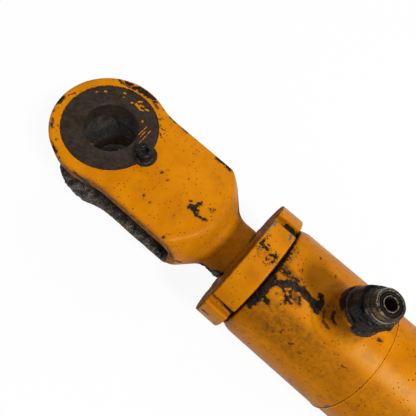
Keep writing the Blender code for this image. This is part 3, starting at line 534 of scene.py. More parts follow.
class Finish:
    """A material in the making, with short calls for its nodes. Noise sizes are millimetres."""

    def __init__(self, name, roughness=0.5, metallic=0.0, specular=0.5):
        self.material = bpy.data.materials.new(name)
        self.material.use_nodes = True
        self.tree = self.material.node_tree
        self.shader = self.tree.nodes["Principled BSDF"]
        self.set("Roughness", roughness)
        self.set("Metallic", metallic)
        self.set("Specular IOR Level", specular)
        self.where = self.node("ShaderNodeTexCoord").outputs["Object"]

    def node(self, kind, inputs=(), **settings):
        made = self.tree.nodes.new(kind)
        for name, value in settings.items():
            setattr(made, name, value)
        for name, value in dict(inputs).items():
            self.feed(made.inputs[name], value)
        return made

    def feed(self, socket, value):
        if isinstance(value, bpy.types.NodeSocket):
            self.tree.links.new(value, socket)
        elif isinstance(value, tuple):
            socket.default_value = (*value, 1.0)[:len(socket.default_value)]
        else:
            socket.default_value = value

    def set(self, name, value):
        self.feed(self.shader.inputs[name], value)

    def noise(self, size, detail=2.0, rough=0.5, stretch=(1, 1, 1)):
        where = self.node("ShaderNodeMapping", {"Vector": self.where, "Scale": stretch})
        made = self.node("ShaderNodeTexNoise", {"Vector": where.outputs[0], "Scale": 1 / size / MM,
                                                "Detail": detail, "Roughness": rough})
        return made.outputs["Fac"]

    def attribute(self, name):
        return self.node("ShaderNodeAttribute", attribute_name=name).outputs["Fac"]

    def math(self, kind, first, second=0.0):
        made = self.node("ShaderNodeMath", operation=kind)
        self.feed(made.inputs[0], first)
        self.feed(made.inputs[1], second)
        return made.outputs[0]

    def step(self, value, low, high, start=0.0, end=1.0):
        inputs = {"Value": value, "From Min": low, "From Max": high, "To Min": start, "To Max": end}
        return self.node("ShaderNodeMapRange", inputs, interpolation_type="SMOOTHSTEP").outputs[0]

    def times(self, first, second):
        return self.math("MULTIPLY", first, second)

    def plus(self, first, second):
        return self.math("ADD", first, second)

    def mix(self, share, first, second, kind="RGBA", start=6, result=2):
        """Mix two colours. The last three say which kind of value, and its first socket and output."""
        made = self.node("ShaderNodeMix", data_type=kind)
        for number, value in ((0, share), (start, first), (start + 1, second)):
            self.feed(made.inputs[number], value)
        return made.outputs[result]

    def blend(self, share, first, second):
        return self.mix(share, first, second, "FLOAT", 2, 0)

    def wander(self, mark, noise, reach):
        """A mark's depth, or nothing, that a noise moves by about reach millimetres."""
        moved = self.times(self.math("SUBTRACT", noise, 0.5), reach * 6)
        return self.plus(self.attribute(mark), moved) if mark else moved

    def ragged(self, mark, noise, reach):
        """A mask of a mark whose edge wanders by about reach millimetres."""
        return self.step(self.wander(mark, noise, reach), -0.10, 0.10)

    def specks(self, spacing):
        """Small round spots of uneven size, some left out."""
        made = self.node("ShaderNodeTexVoronoi", {"Vector": self.where, "Scale": 1 / spacing / MM})
        chance = self.node("ShaderNodeSeparateColor", {"Color": made.outputs["Color"]}).outputs[0]
        edge = self.step(chance, 0.15, 1.0, -0.02, 0.24)
        return self.step(self.math("SUBTRACT", edge, made.outputs["Distance"]), -0.02, 0.05)

    def bump(self, *layers):
        """Bump from (height, depth in millimetres) layers."""
        normal = None
        for height, depth in layers:
            made = self.node("ShaderNodeBump", {"Height": height, "Distance": depth * MM})
            if normal:
                self.feed(made.inputs["Normal"], normal)
            normal = made.outputs[0]
        self.set("Normal", normal)


PAINT_LIGHT = (0.72, 0.242, 0.0010)
PAINT_DEEP = (0.60, 0.188, 0.0006)
# Paler paint for the painted sheen on the barrel
PAINT_SHEEN = (0.76, 0.305, 0.012)
# Dark brown for soot and for painted shade
PAINT_SOOT_AND_SHADE = (0.105, 0.040, 0.0045)
PAINT_SPECK = (0.070, 0.014, 0.004)
PAINT_STAIN = (0.200, 0.072, 0.010)
RUST = (0.100, 0.028, 0.006)
CHIP_BLACK = (0.010, 0.008, 0.007)
CHIP_BROWN = (0.062, 0.038, 0.020)
BARE_GREY = (0.25, 0.225, 0.175)
BARE_GREY_DARK = (0.12, 0.105, 0.080)
SPOT_STEEL = (0.060, 0.043, 0.032)
SPOT_STEEL_DARK = (0.034, 0.023, 0.016)
GREASE_WET = (0.007, 0.0055, 0.004)
GREASE_DUSTY = (0.078, 0.058, 0.042)
GREASE_GRIT = (0.30, 0.25, 0.20)
OILY_DARK = (0.016, 0.011, 0.007)
OILY_LIGHT = (0.100, 0.078, 0.054)
BRASS_DARK = (0.060, 0.036, 0.012)
BRASS_LIGHT = (0.30, 0.22, 0.10)
WORN_EDGE_AND_HIGHLIGHT = (0.25, 0.215, 0.16)
GRIME_BLACK = (0.0022, 0.0016, 0.0010)
GRIME_BROWN = (0.016, 0.012, 0.008)
CHROME_DARK = (0.66, 0.67, 0.68)
CHROME_LIGHT = (0.78, 0.79, 0.80)
CHROME_OIL = (0.050, 0.040, 0.030)
CHROME_DUST = (0.120, 0.105, 0.085)


def paint(name):
    """Worn gloss paint: film of soot and painted shade, painted sheen, specks, black chips, bare metal,
    oily machined faces.
    """
    made = Finish(name, specular=0.06)
    cloud = made.noise(24, 3, 0.55)
    fine = made.noise(3.2, 5, 0.62)
    ragged = made.noise(2.4, 7, 0.72)
    patchy = made.noise(7.5, 3, 0.6)
    grit = made.noise(0.7, 3, 0.6)
    grain = made.noise(1.3, 3, 0.7)
    colour = made.mix(made.step(cloud, 0.32, 0.68), PAINT_DEEP, PAINT_LIGHT)
    colour = made.mix(made.step(fine, 0.52, 0.78, 0.0, 0.35), colour, PAINT_DEEP)
    colour = made.mix(made.step(grain, 0.50, 0.72, 0.0, 0.55), colour, PAINT_DEEP)
    # The painted sheen: paler paint, broken by noise, where a highlight falls on the barrel
    dust = made.times(made.attribute("haze"), made.step(fine, 0.30, 0.65, 0.45, 1.0))
    colour = made.mix(dust, colour, PAINT_SHEEN)

    stain = made.times(made.step(made.noise(17, 4, 0.62), 0.48, 0.72), made.step(patchy, 0.36, 0.70))
    stain = made.times(stain, made.attribute("dirt"))
    # The film darkens with soot and with painted shade
    film = made.times(made.attribute("soot"), made.step(fine, 0.25, 0.75, 0.55, 1.45))
    colour = made.mix(made.math("MINIMUM", stain, 0.8), colour, PAINT_STAIN)
    colour = made.mix(made.math("MINIMUM", film, 1.0), colour, PAINT_SOOT_AND_SHADE)
    colour = made.mix(made.times(made.specks(2.5), 0.85), colour, PAINT_SPECK)

    rust = made.ragged("rust", ragged, 1.0)
    colour = made.mix(made.times(rust, 0.9), colour, RUST)
    depth = made.plus(made.wander("chip", ragged, 1.15), made.wander(None, patchy, 0.5))
    depth = made.plus(depth, made.wander(None, fine, 0.5))
    halo = made.times(made.step(depth, -1.7, 0.1, 0.0, 0.85), made.step(grit, 0.30, 0.62))
    colour = made.mix(halo, colour, PAINT_STAIN)
    chip = made.step(depth, -0.08, 0.08)
    black = made.mix(made.step(made.blend(0.5, grit, fine), 0.44, 0.64), CHIP_BLACK, CHIP_BROWN)
    colour = made.mix(chip, colour, black)
    bare = made.ragged("bare", ragged, 0.8)
    colour = made.mix(bare, colour, made.mix(made.step(grit, 0.3, 0.7), BARE_GREY, BARE_GREY_DARK))
    steel = made.ragged("steel", ragged, 0.30)
    mottle = made.blend(0.35, fine, made.noise(11, 3, 0.6))
    dark = made.mix(made.step(mottle, 0.36, 0.62), SPOT_STEEL_DARK, SPOT_STEEL)
    colour = made.mix(steel, colour, dark)
    made.set("Base Color", colour)

    metal_share = made.math("MAXIMUM", bare, steel)
    worn = made.math("MAXIMUM", chip, metal_share)
    gloss = made.plus(made.step(fine, 0.3, 0.7, 0.30, 0.42), made.times(film, 0.6))
    made.set("Roughness", made.blend(worn, gloss, 0.55))
    made.set("Metallic", made.times(metal_share, 0.35))
    peel = made.noise(2.2, 2, 0.5)
    made.bump((peel, 0.06), (fine, 0.08), (grain, 0.05), (made.math("SUBTRACT", 1.0, chip), 0.14))
    return made.material


def metal(name, light, dark, roughness, metallic=0.9, size=4.0):
    """Machined metal: two tones, uneven gloss and fine tool marks."""
    made = Finish(name, metallic=metallic)
    fine = made.noise(size, 4, 0.6)
    tone = made.blend(0.5, made.noise(size * 4, 3, 0.55), fine)
    made.set("Base Color", made.mix(made.step(tone, 0.36, 0.64), dark, light))
    made.set("Roughness", made.step(fine, 0.25, 0.75, roughness * 0.75, roughness * 1.3))
    made.bump((fine, 0.01))
    return made.material


def rubber(name, light, dark):
    made = Finish(name, specular=0.2)
    fine = made.noise(1.5, 3, 0.6)
    made.set("Base Color", made.mix(made.step(fine, 0.35, 0.65), dark, light))
    made.set("Roughness", made.step(fine, 0.3, 0.7, 0.5, 0.75))
    made.bump((fine, 0.02))
    return made.material


def grease(name):
    """Old black grease full of dust and pale grit, wet where it has no dust."""
    made = Finish(name, specular=0.35)
    broad = made.noise(7, 4, 0.65)
    fine = made.noise(1.3, 5, 0.72)
    dust = made.attribute("dust")
    tone = made.blend(0.5, broad, fine)
    dusty = made.times(made.step(tone, 0.42, 0.62), dust)
    colour = made.mix(dusty, GREASE_WET, GREASE_DUSTY)
    grit = made.times(made.step(made.noise(0.9, 3, 0.65), 0.54, 0.62), made.step(broad, 0.40, 0.60))
    made.set("Base Color", made.mix(made.times(grit, dust), colour, GREASE_GRIT))
    made.set("Roughness", made.step(fine, 0.35, 0.65, 0.30, 0.85))
    made.bump((broad, 0.6), (fine, 0.5))
    return made.material


def fitting(name):
    """The port adapters: blackened steel under old oil, worn bright on its edges, paler still on the lit
    side.
    """
    made = Finish(name, specular=0.2)
    broad = made.noise(4, 4, 0.65)
    fine = made.noise(1.0, 5, 0.65)
    tone = made.blend(0.5, broad, fine)
    colour = made.mix(made.step(tone, 0.38, 0.62), OILY_DARK, OILY_LIGHT)
    brass = made.ragged("brass", fine, 0.9)
    gold = made.mix(made.step(fine, 0.4, 0.6), BRASS_DARK, BRASS_LIGHT)
    colour = made.mix(brass, colour, gold)
    # Pale worn edges, with a painted highlight on the lit side
    worn = made.ragged("worn", fine, 0.30)
    colour = made.mix(worn, colour, WORN_EDGE_AND_HIGHLIGHT)
    grime = made.ragged("grime", fine, 0.8)
    black = made.mix(made.step(fine, 0.42, 0.72), GRIME_BLACK, GRIME_BROWN)
    made.set("Base Color", made.mix(grime, colour, black))
    made.set("Metallic", made.blend(grime, 0.45, 0.0))
    made.set("Roughness", made.step(fine, 0.3, 0.7, 0.34, 0.68))
    made.bump((broad, 0.15), (fine, 0.14))
    return made.material


def chrome(name):
    """Hard chrome, with a dull film of oil and dust next to the fork."""
    made = Finish(name, metallic=1.0)
    fine = made.noise(3.0, 4, 0.6, (8, 1, 1))
    film = made.attribute("film")
    colour = made.mix(made.step(fine, 0.36, 0.64), CHROME_DARK, CHROME_LIGHT)
    dull = made.mix(made.noise(2.0, 4, 0.6), CHROME_OIL, CHROME_DUST)
    made.set("Base Color", made.mix(film, colour, dull))
    made.set("Metallic", made.blend(film, 1.0, 0.2))
    made.set("Roughness", made.blend(film, made.step(fine, 0.25, 0.75, 0.08, 0.14), 0.6))
    made.bump((fine, 0.002))
    return made.material


YELLOW = paint("yellow_paint")
FITTING = fitting("oily_fitting")
DARK_STEEL = metal("dark_steel", (0.085, 0.076, 0.066), (0.022, 0.018, 0.015), 0.42, size=2.5)
BLACK_STEEL = metal("blackened_steel", (0.035, 0.032, 0.029), (0.012, 0.010, 0.009), 0.36, 0.6, 2.0)
BEARING_STEEL = metal("bearing_steel", (0.50, 0.49, 0.47), (0.33, 0.31, 0.28), 0.26, size=3.0)
CHROME = chrome("rod_chrome")
RUBBER = rubber("seal_rubber", (0.006, 0.0058, 0.0055), (0.003, 0.0029, 0.0028))
GUIDE = rubber("guide_ring_plastic", (0.14, 0.24, 0.16), (0.09, 0.17, 0.11))
GREASE = grease("old_grease")

NODE_FINISHES = {
    DARK_STEEL: ("upper_spring_ring", "lower_spring_ring", "piston", "piston_nut"),
    RUBBER: ("front_stud_seal", "rear_stud_seal", "rod_seal", "rod_buffer_seal", "piston_seal",
             "piston_static_seal", "gland_static_seal"),
    GUIDE: ("rod_guide_front", "rod_guide_rear", "piston_guide_front", "piston_guide_rear",
            "gland_backup_ring"),
}


# Painted forgings

def cut_disc(target, low, high, radius, along, steps, fine=60.0):
    """Cut a disc out, leaving points no further apart than fine on its floor."""
    profile = spread([(low, 0), (low, radius)], fine) + [(high, radius), (high, 0)]
    tool = turned("disc_tool", profile, steps, "Z")
    place(tool, along)
    cut(target, tool)


def fork():
    half = FORK_HALF + 2
    face = FORK_HALF - SPOTFACE_DEPTH
    low = (NECK_END, -EYE_RADIUS, -half)
    made = skin("fork_forging", fork_field, low, (FORK_HIGH[0], EYE_RADIUS, half), 1.1)
    cut_disc(made, face, half + 3, SPOTFACE_RADIUS, PIN_X, 256, 0.9)
    cut_disc(made, -half - 3, -face, SPOTFACE_RADIUS, PIN_X, 256)
    cut_disc(made, face, half + 3, SCREW_PAD, SCREW_X, 96)
    cut_disc(made, face - 14, half, 4.3, SCREW_X, 48)
    wide = PIN_RADIUS + PIN_CHAMFER
    bore = [(-half, 0), (-half, wide + half - face), (-face, wide), (-face + PIN_CHAMFER, PIN_RADIUS),
            (face - PIN_CHAMFER, PIN_RADIUS), (face, wide), (half, wide + half - face), (half, 0)]
    tool = turned("pin_bore", bore, 192, "Z")
    place(tool, PIN_X)
    cut(made, tool)
    made.data.set_sharp_from_angle(angle=FORGING_SHARP)
    return made


def barrel_head():
    edge = HEAD_RADIUS + 1
    high = (HEAD_FACE, edge, BOSS_TOP + 1.5)
    made = skin("head_forging", head_field, (HEAD_SEAM - SEAM_TUCK, -edge, -edge), high, 1.15)
    made.data.set_sharp_from_angle(angle=FORGING_SHARP)
    return made


def gland():
    edge = GLAND_RADIUS + 0.5
    return skin("gland_ring", gland_field, (GLAND_END, -edge, -edge), (GLAND_FACE, edge, edge), 1.1)


def base_eye():
    edge = HEAD_RADIUS + 1
    high = (BASE_SEAM + SEAM_TUCK, edge, BOSS_TOP + 1.5)
    made = skin("base_forging", base_field, (-BASE_EYE_RADIUS, -edge, -edge), high, 1.2)
    made.data.set_sharp_from_angle(angle=FORGING_SHARP)
    return made


def barrel_tube():
    """The plain tube, with a low weld bead at each end."""
    start, end = BASE_SEAM, HEAD_SEAM
    profile = [(start, BORE_RADIUS), (end, BORE_RADIUS)]
    for side, tip in ((-1, end), (1, start)):
        bead = [(tip + side * WELD_WIDTH * step / 8,
                 TUBE_RADIUS + WELD_RISE * math.cos(math.pi / 2 * step / 8) ** 0.8) for step in range(9)]
        profile += bead if side < 0 else bead[::-1]
        if side < 0:
            profile += spread([bead[-1], (start + WELD_WIDTH, TUBE_RADIUS)], 3.0)[1:-1]
    return turned("tube_wall", profile, 256)


# Wear on the fork. Marks are (radius, place, place, ...) strokes.

FORK_CHIPS = strokes(
    from_pin,
    # Round the eye
    (0.9, (-28, 38.5, 36.9), (-24, 38.5)), (1.5, (-21, 40.5), (-16, 43)), (2.2, (-13, 41.5), (-9, 45)),
    (2.8, (-8, 44.5), (-1, 45.5)), (2.3, (0, 45.5), (6, 46.6)), (0.8, (9, 44.8), (12, 45.6, 37)),
    (2.0, (-46.2, -14, 36.6), (-46.6, -8, 36.6)), (1.0, (-42.5, -22.5)), (0.8, (-30, -29.5)),
    (0.9, (-34.8, -31.8), (-31.2, -33.6)), (0.7, (-21.1, -39.2)), (1.0, (-22.4, -43.5, 36.2)),
    (1.7, (-18.6, -45.4, 35.8), (-13.3, -47, 35.8)), (0.9, (-8.8, -48.6, 35.6)),
    # Along the near side
    (2.3, (9, -48.8, 33.0), (14, -47.9, 30.5)), (3.1, (13, -48.1, 29.5), (19, -46.4, 24)),
    (0.9, (73, -43.7, 29), (77, -43.7, 27)), (0.7, (96.5, -41.6, 37)),
    (1.2, (107, -43.6, 20), (109, -43.5, 13)), (1.5, (112, -42.5, 9), (117, -39.6, 5)),
    # Along the far side
    (0.8, (20, 44, 36.9)), (1.3, (28.6, 43, 36.5), (35, 42.5, 36.6)),
    (1.1, (42, 42.8, 36.3), (49, 42.5, 36.6)), (1.6, (84, 41.9, 37), (91, 42, 37), (99, 41.5, 36.8)),
    (2.2, (112, 37, 21), (118, 33.0, 19)), (2.4, (118, 33, 19), (129, 23.5, 18.5)),
    # On the face
    (1.6, (94.8, -8.8), (98, -8), (102, -7)), (1.2, (98.5, -7), (99.8, 0.3)),
    (1.5, (99.5, -8), (103.5, -10.2)), (0.9, (97, -5.4), (94.2, -6.5)), (1.2, (92.6, -4.2)),
    (0.9, (105.4, -9.6), (109.6, -9.1), (111.8, -7.9)), (0.8, (109, 1.8), (111.8, 1.6), (111.9, 3.5)),
    (0.9, (62.5, -26.5)), (0.5, (69.1, -27.8)), (0.8, (58.7, -1.5)), (0.6, (61, 3.4)),
    (0.5, (66.4, -3.4)))
FORK_RUST = strokes(
    from_pin,
    (0.6, (20, 38.2), (26, 36.3)), (0.5, (22, 33.6), (25, 34.6)), (0.6, (28.8, 29.7), (33.4, 28.6)),
    (0.6, (32.8, 24.9), (37.6, 21.4)), (0.5, (36.4, 26.5), (34, 30)), (1.2, (-24, 38), (-16, 40)),
    (1.2, (8, 43.5), (15, 41.5)), (0.8, (-45, -4), (-43, 2)), (0.8, (-37, -28), (-33, -31)))
FORK_BARE = strokes(
    from_pin,
    (0.5, (-36.2, -31.4, 36.9), (-33.5, -34.0, 36.9)), (0.6, (112.6, -3.4), (113.2, -2.6)))


def on_spotface(along, right):
    return from_pin(along, right, FORK_HALF - SPOTFACE_DEPTH)


# Yellow overspray left on the machined face
SPOTFACE_PAINT = strokes(
    on_spotface,
    (0.9, (-0.8, 34.5), (1.2, 36.6)), (1.1, (-0.6, 31.2), (3.6, 30.6)), (0.8, (2.5, 33), (5.5, 34)),
    (0.9, (8.6, 33.2), (11, 34)), (0.7, (5, 29.5), (8, 31)), (0.35, (27.2, 5.6), (25.8, 21.8)),
    (0.35, (21.5, 10.2), (20.9, 21.4)), (0.3, (23.9, 9), (23.2, 17)), (0.8, (-4.4, 29.4), (-3.6, 30)),
    (0.7, (15, 22), (14.6, 23)), (0.8, (-15.4, 32), (-14.4, 32.6)), (0.6, (-12.9, 28.5), (-12.3, 29)),
    (0.9, (-27.9, 21.3), (-26.8, 22)), (0.7, (-32.3, 15.8), (-31.6, 16.4)))
GLAND_CHIPS = strokes(
    on_round,
    (1.0, (157.0, 3.5, 59.4), (156, -1.5, 59.4)), (0.8, (156, -1.5, 59.4), (162.5, -1.5, 59.4)),
    (0.9, (162.5, -5, 59.4), (166.5, -8, 59.4)), (1.0, (166.5, -3.2, 59.4), (171.6, -2.2, 59.4)),
    (0.9, (171.2, -6.5, 59.4), (172.8, -5, 59.4)), (0.6, (159.6, 2.2, 59.4), (161.6, 1.2, 59.4)),
    (2.8, (165.5, 34, 53.4), (170, 34, 53.4)), (2.8, (170, 33, 53), (176, 34, 53)),
    (1.3, (162, 24.3, 52.5), (176, 24.3, 52.5)),
    (1.2, (157, -61.5, 52.5), (166, -62, 52.5)), (2.2, (167, -62.5, 52.5), (175, -64, 52.5)),
    (0.5, (157, -80.6, 59.4), (163, -80.1, 59.4)), (0.6, (171.3, -85, 59.4)),
    (0.9, (176.6, 22, 58.9), (176.9, 10, 58.9)), (1.1, (177, 6, 58.8), (177, -4, 58.8)),
    (0.8, (177, -10, 58.8), (177, -18, 58.8)), (0.6, (177, -26, 58.8), (177, -45, 58.8)))
GLAND_SPECKLE = strokes(
    on_round,
    (5.0, (158, -2, 59.4), (166, -6, 59.4)), (4.0, (170, -3, 59.4)), (3.0, (155.5, 8, 59.4)))
GLAND_BARE = strokes(
    on_round,
    (1.2, (155.0, 22.5, 58.9), (155.8, 18.5, 59.3)), (0.8, (154.2, 18, 58.9), (153.6, 6, 58.9)),
    (1.0, (156, 23.9, 58.9), (166, 23.9, 58.9)), (1.0, (166, 23.9, 58.9), (176, 23.9, 58.9)),
    (1.2, (170.6, 22.6, 59.2), (171.6, 17.5, 59.4)), (1.0, (174.8, 22.0, 59.0), (175.8, 18.5, 59)))
HEAD_CHIPS = strokes(
    on_round,
    # In the joint with the gland
    (0.9, (177.9, 44, 50), (177.9, 28, 50)), (1.0, (178.2, 28, 51), (178.2, 12, 51)),
    (1.7, (178.6, 12, 52), (178.8, -6, 52)), (2.2, (178.4, -6, 51.5), (178.8, -29, 51.5)),
    (3.2, (179.6, -14, 52.6), (180.6, -25, 53), (180.4, -38, 53), (179.8, -44, 52.6)),
    # Worn through on the shoulder
    (2.3, (182, -18), (187, -13), (193, -9)), (2.7, (193, -8.2), (203, -7.2), (212, -8.2)),
    (2.7, (212, -8.2, 55), (218.5, -11.2, 55.3)), (1.8, (183, -31), (188.5, -31.6)),
    (1.2, (188, -15), (193, -18), (198, -20), (201, -20.6)), (0.8, (197, -20), (196.5, -26)),
    (1.1, (196, -14), (199, -18)), (0.8, (204, -11), (206, -16)), (1.0, (183.5, -4.5, 54), (187, -3.2)),
    (0.7, (191, -3.6), (196, -3.0)),
    # Two wedges on the boss
    (2.0, (215.0, -0.9, 55.8), (218, -5.5, 57)), (2.9, (217.2, -5.5, 57), (218.6, -9.2, 56.2)),
    (1.9, (225.2, -8.0, 69.5), (228, -10.4, 65.6)), (2.2, (227.6, -9.8, 66.5), (230, -11.0, 66.5)),
    # Small knocks
    (0.8, (267.3, 2.8), (269.4, 4.4), (269.4, 6.8)), (0.6, (192.1, 4.3)), (0.6, (193.1, 5.8)),
    (0.9, (217.8, 25)), (0.5, (203.2, -80.4)), (0.6, (186, 42, 54)), (0.5, (201, 30)))
HEAD_SPECKLE = strokes(
    on_round,
    (4.5, (186, -5), (199, -5)), (4.0, (192, -20), (204, -17)), (3.5, (221, -8, 60)),
    (2.5, (181, 20, 53), (181, 8, 53)))
HEAD_RUST = strokes(
    on_round,
    (1.3, (222, -10, 59), (226, -14, 58)), (1.5, (227, -15, 58), (232, -16, 58)),
    (0.8, (221, -46), (223, -44)), (0.8, (229, -47), (232, -46)), (0.7, (210, -40), (211, -44)),
    (1.2, (185, -6), (192, -4)), (0.7, (259, -31), (261, -30)), (0.6, (244, -50), (246, -49)))
HEAD_OIL = strokes(on_round, (3.6, (182, -1), (189, -4), (195, -6)), (2.5, (200, -14), (206, -16)))
HEAD_BARE = strokes(on_round, (1.2, (277.4, -69, 54.3), (277.4, -75, 54.3)))
TUBE_BARE = strokes(on_round, (1.1, (282.4, 20.5, 53.3), (283.4, 21.5, 53.3)))
TUBE_RUST = strokes(
    on_round,
    (1.0, (285.7, 37.4, 53.3)), (0.7, (281, -54, 53.3), (283, -54, 53.3)),
    (0.8, (300, -33, 53.3), (302, -34, 53.3)), (0.7, (276, -10, 54)))


def scatter(thing, count, seed, largest, where):
    """Strokes at random vertices of a piece, where the function allows."""
    chance = np.random.default_rng(seed)
    points = corners(thing)
    allowed = points[where(*points.T)]
    out = []
    for _ in range(count):
        start = allowed[chance.integers(len(allowed))]
        step_away = chance.normal(0, 2.0, 3)
        out.append((largest * chance.uniform(0.25, 1) ** 2, [start, start + step_away]))
    return out


def round_places(x, y, z):
    """How far from the pin towards the base, and how far turned to the left from straight up."""
    return PIN_X - x, np.degrees(np.arctan2(y, z))


def barrel_side_painted_shade(x, y, z):
    """Painted shade: brown darkening along the barrel's left shoulder, strongest by the gland."""
    along, left = round_places(x, y, z)
    band = smooth(left, 21, 31) * smooth(-left, -66, -50)
    near = smooth(along, 178, 190) * smooth(-along, -255, -215)
    return band * (0.30 + 0.22 * near) * smooth(np.hypot(y, z), BORE_RADIUS + 2, BORE_RADIUS + 5)


def barrel_painted_sheen(x, y, z):
    """A painted sheen: paler paint on the stretch of the barrel that faces up."""
    along, left = round_places(x, y, z)
    return 0.75 * smooth(along, 226, 262) * smooth(left, 2, 10) * smooth(-left, -25, -17)


def mark(thing, chip=(), speckle=(), bare=(), rust=(), **layers):
    """Store wear as depths in millimetres, and how thick each layer is, painted shade and sheen among
    them.
    """
    points = corners(thing)
    speckles = np.minimum(strokes_distance(points, speckle), SPECKLE_DEPTH)
    write_attribute(thing, "chip", np.maximum(strokes_distance(points, chip), speckles))
    write_attribute(thing, "bare", strokes_distance(points, bare))
    write_attribute(thing, "rust", strokes_distance(points, rust))
    for name, value in {"steel": FAR, "soot": 0.0, "dirt": 0.6, "haze": 0.0, **layers}.items():
        write_attribute(thing, name, value)


def fork_steel(x, y, z):
    """The spotfaces, the screw's pad and the pin bore were machined after forging."""
    radial = np.hypot(x - PIN_X, y)
    face = np.where(np.abs(z) > FORK_HALF - SPOTFACE_DEPTH - 0.4, SPOTFACE_RADIUS - radial, FAR)
    pad = np.where(z > FORK_HALF - 2, SCREW_PAD - np.hypot(x - SCREW_X, y), FAR)
    paint_left = strokes_distance(np.stack([x, y, z], -1), SPOTFACE_PAINT)
    bore = PIN_RADIUS + 1.4 - radial
    return np.minimum(np.maximum(np.maximum(face, pad), bore), -paint_left)


def fork_shade_and_dirt(x, y, z):
    along = PIN_X - x
    # The faces inside the slot and the lower ear are made darker
    inner = smooth(-np.abs(z), -SLOT_HALF - 1.2, -SLOT_HALF + 0.3) * smooth(-along, -109, -104)
    far_side = smooth(-z, 18, 22) * smooth(-along, -118, -106) * 0.5
    # Painted shade on the near side's lower band, the neck by the gland, the shoulder and the side walls
    near_side_painted_shade = smooth(-np.abs(z - SLOT_HALF - 3), -6, 0) * smooth(y, 40, 43) * 0.35
    neck_painted_shade = smooth(along, 128, 150) * smooth(y, 12, 27) * 0.55
    shoulder = smooth(along, 112, 124) * 0.24
    plan = fork_surfaces(x, y, z)[0]
    side_wall_painted_shade = smooth(plan, -1.4, -0.2) * smooth(FORK_HALF - np.abs(z), 2.0, 5.0) * 0.5
    return np.maximum.reduce([inner * 0.95, far_side, near_side_painted_shade, neck_painted_shade, shoulder, side_wall_painted_shade])


def gland_shade_and_dirt(x, y, z):
    # Painted shade on the front face; all a few millimetres inside the rim, the slots among it, is darker
    # too; the joint behind the flange is dirty
    front = smooth(x, GLAND_FACE - 1.6, GLAND_FACE - 0.4) * 0.6
    back = smooth(-x, GLAND_FLANGE - GLAND_FACE - 0.8, GLAND_FLANGE - GLAND_FACE)
    slots = smooth(GLAND_RADIUS - np.hypot(y, z), 1.0, 4.0) * 0.35
    return np.maximum.reduce([front, back, slots])


def base_steel(x, y, z):
    """The bearing's seat was bored after forging."""
    return BEARING_RADIUS + 0.6 - np.hypot(x, y)


def base_soot(x, y, z):
    return smooth(-np.hypot(x, y), -BEARING_RADIUS - 5, -BEARING_RADIUS) * 0.5


def head_shade_and_dirt(x, y, z):
    joint = smooth(x, HEAD_FACE - 2.0, HEAD_FACE - 0.2)
    radial, height = boss_parts(x, y, z, FRONT_PORT)
    above = smooth(height, 50, 56)
    # Painted shade on the boss's flare, on its left side and on the side towards the fork
    flare_painted_shade = smooth(-radial, -26, -20) * above * smooth(y, -2, 10) * 0.30
    flare_painted_shade = flare_painted_shade + smooth(-radial, -25, -21) * above * smooth(x, FRONT_PORT, FRONT_PORT + 14) * 0.25
    oil = strokes_distance(np.stack([x, y, z], -1), HEAD_OIL)
    return np.maximum.reduce([joint, flare_painted_shade, 0.75 * smooth(oil, -2.5, 2.5), barrel_side_painted_shade(x, y, z)])


def head_dirt(x, y, z):
    """Stains are stronger towards the +Y side, and round the boss."""
    radial, height = boss_parts(x, y, z, FRONT_PORT)
    return LIGHT_DIRT + 0.7 * smooth(y, 8, 30) + 0.45 * smooth(-radial, -32, -20)


# Small steel pieces

STUD_RADIUS = 10.7
STUD_FOOT = 66.5
COLLAR_FOOT = 80.8
COLLAR_RADIUS = 15.2
COLLAR_TOP = 84.0
HEX_FOOT = 84.9
HEX_TOP = 98.0
HEX_APOTHEM = 13.5
HEX_CORNER = 14.7
HEX_TURN = math.radians(35)
NECK_OF_NOSE = 9.6
LEDGE_FOOT = 101.0
LEDGE_RADIUS = 11.3
NOSE_FOOT = 102.4
NOSE_RADIUS = 10.3
NOSE_FACE = 109.7
GROOVE_INNER = 5.45
GROOVE_OUTER = 8.0
GROOVE_DEPTH = 1.9
FITTING_BORE = 4.55
FACE_SEAL_SECTION = 1.78


def hexagon_field(u, v, apothem, turn=0.0):
    angles = [turn + math.radians(60 * number + 30) for number in range(3)]
    sides = [np.abs(u * math.cos(angle) + v * math.sin(angle)) - apothem for angle in angles]
    return np.maximum.reduce(sides)


def clean_adapter(u, v, height):
    radial = np.hypot(u, v)
    body = np.maximum(radial - STUD_RADIUS, slab(height, STUD_FOOT, HEX_FOOT))
    collar = meet_round(radial - COLLAR_RADIUS, slab(height, COLLAR_FOOT, COLLAR_TOP), 0.5)
    hexagon = meet_round(hexagon_field(u, v, HEX_APOTHEM, HEX_TURN), radial - HEX_CORNER, 0.5)
    top = (radial - HEX_CORNER + 0.9 + 2 * (height - HEX_TOP)) / math.sqrt(5)
    hexagon = meet_round(hexagon, np.maximum(slab(height, HEX_FOOT, HEX_TOP), top), 0.5)
    hexagon = np.minimum(hexagon, np.maximum(radial - HEX_APOTHEM + 1.1, slab(height, 83, 86)))
    neck = np.maximum(radial - NECK_OF_NOSE, slab(height, HEX_TOP - 2, NOSE_FACE - 1))
    ledge = meet_round(radial - LEDGE_RADIUS, slab(height, LEDGE_FOOT, NOSE_FOOT), 0.35)
    nose = meet_round(radial - NOSE_RADIUS, slab(height, NOSE_FOOT - 1, NOSE_FACE), 0.9)
    body = np.minimum.reduce([body, collar, hexagon, neck, ledge, nose])
    groove = np.maximum(slab(radial, GROOVE_INNER, GROOVE_OUTER), NOSE_FACE - GROOVE_DEPTH - height)
    body = cut_round(body, groove, 0.2)
    return cut_round(body, radial - FITTING_BORE, 0.25)


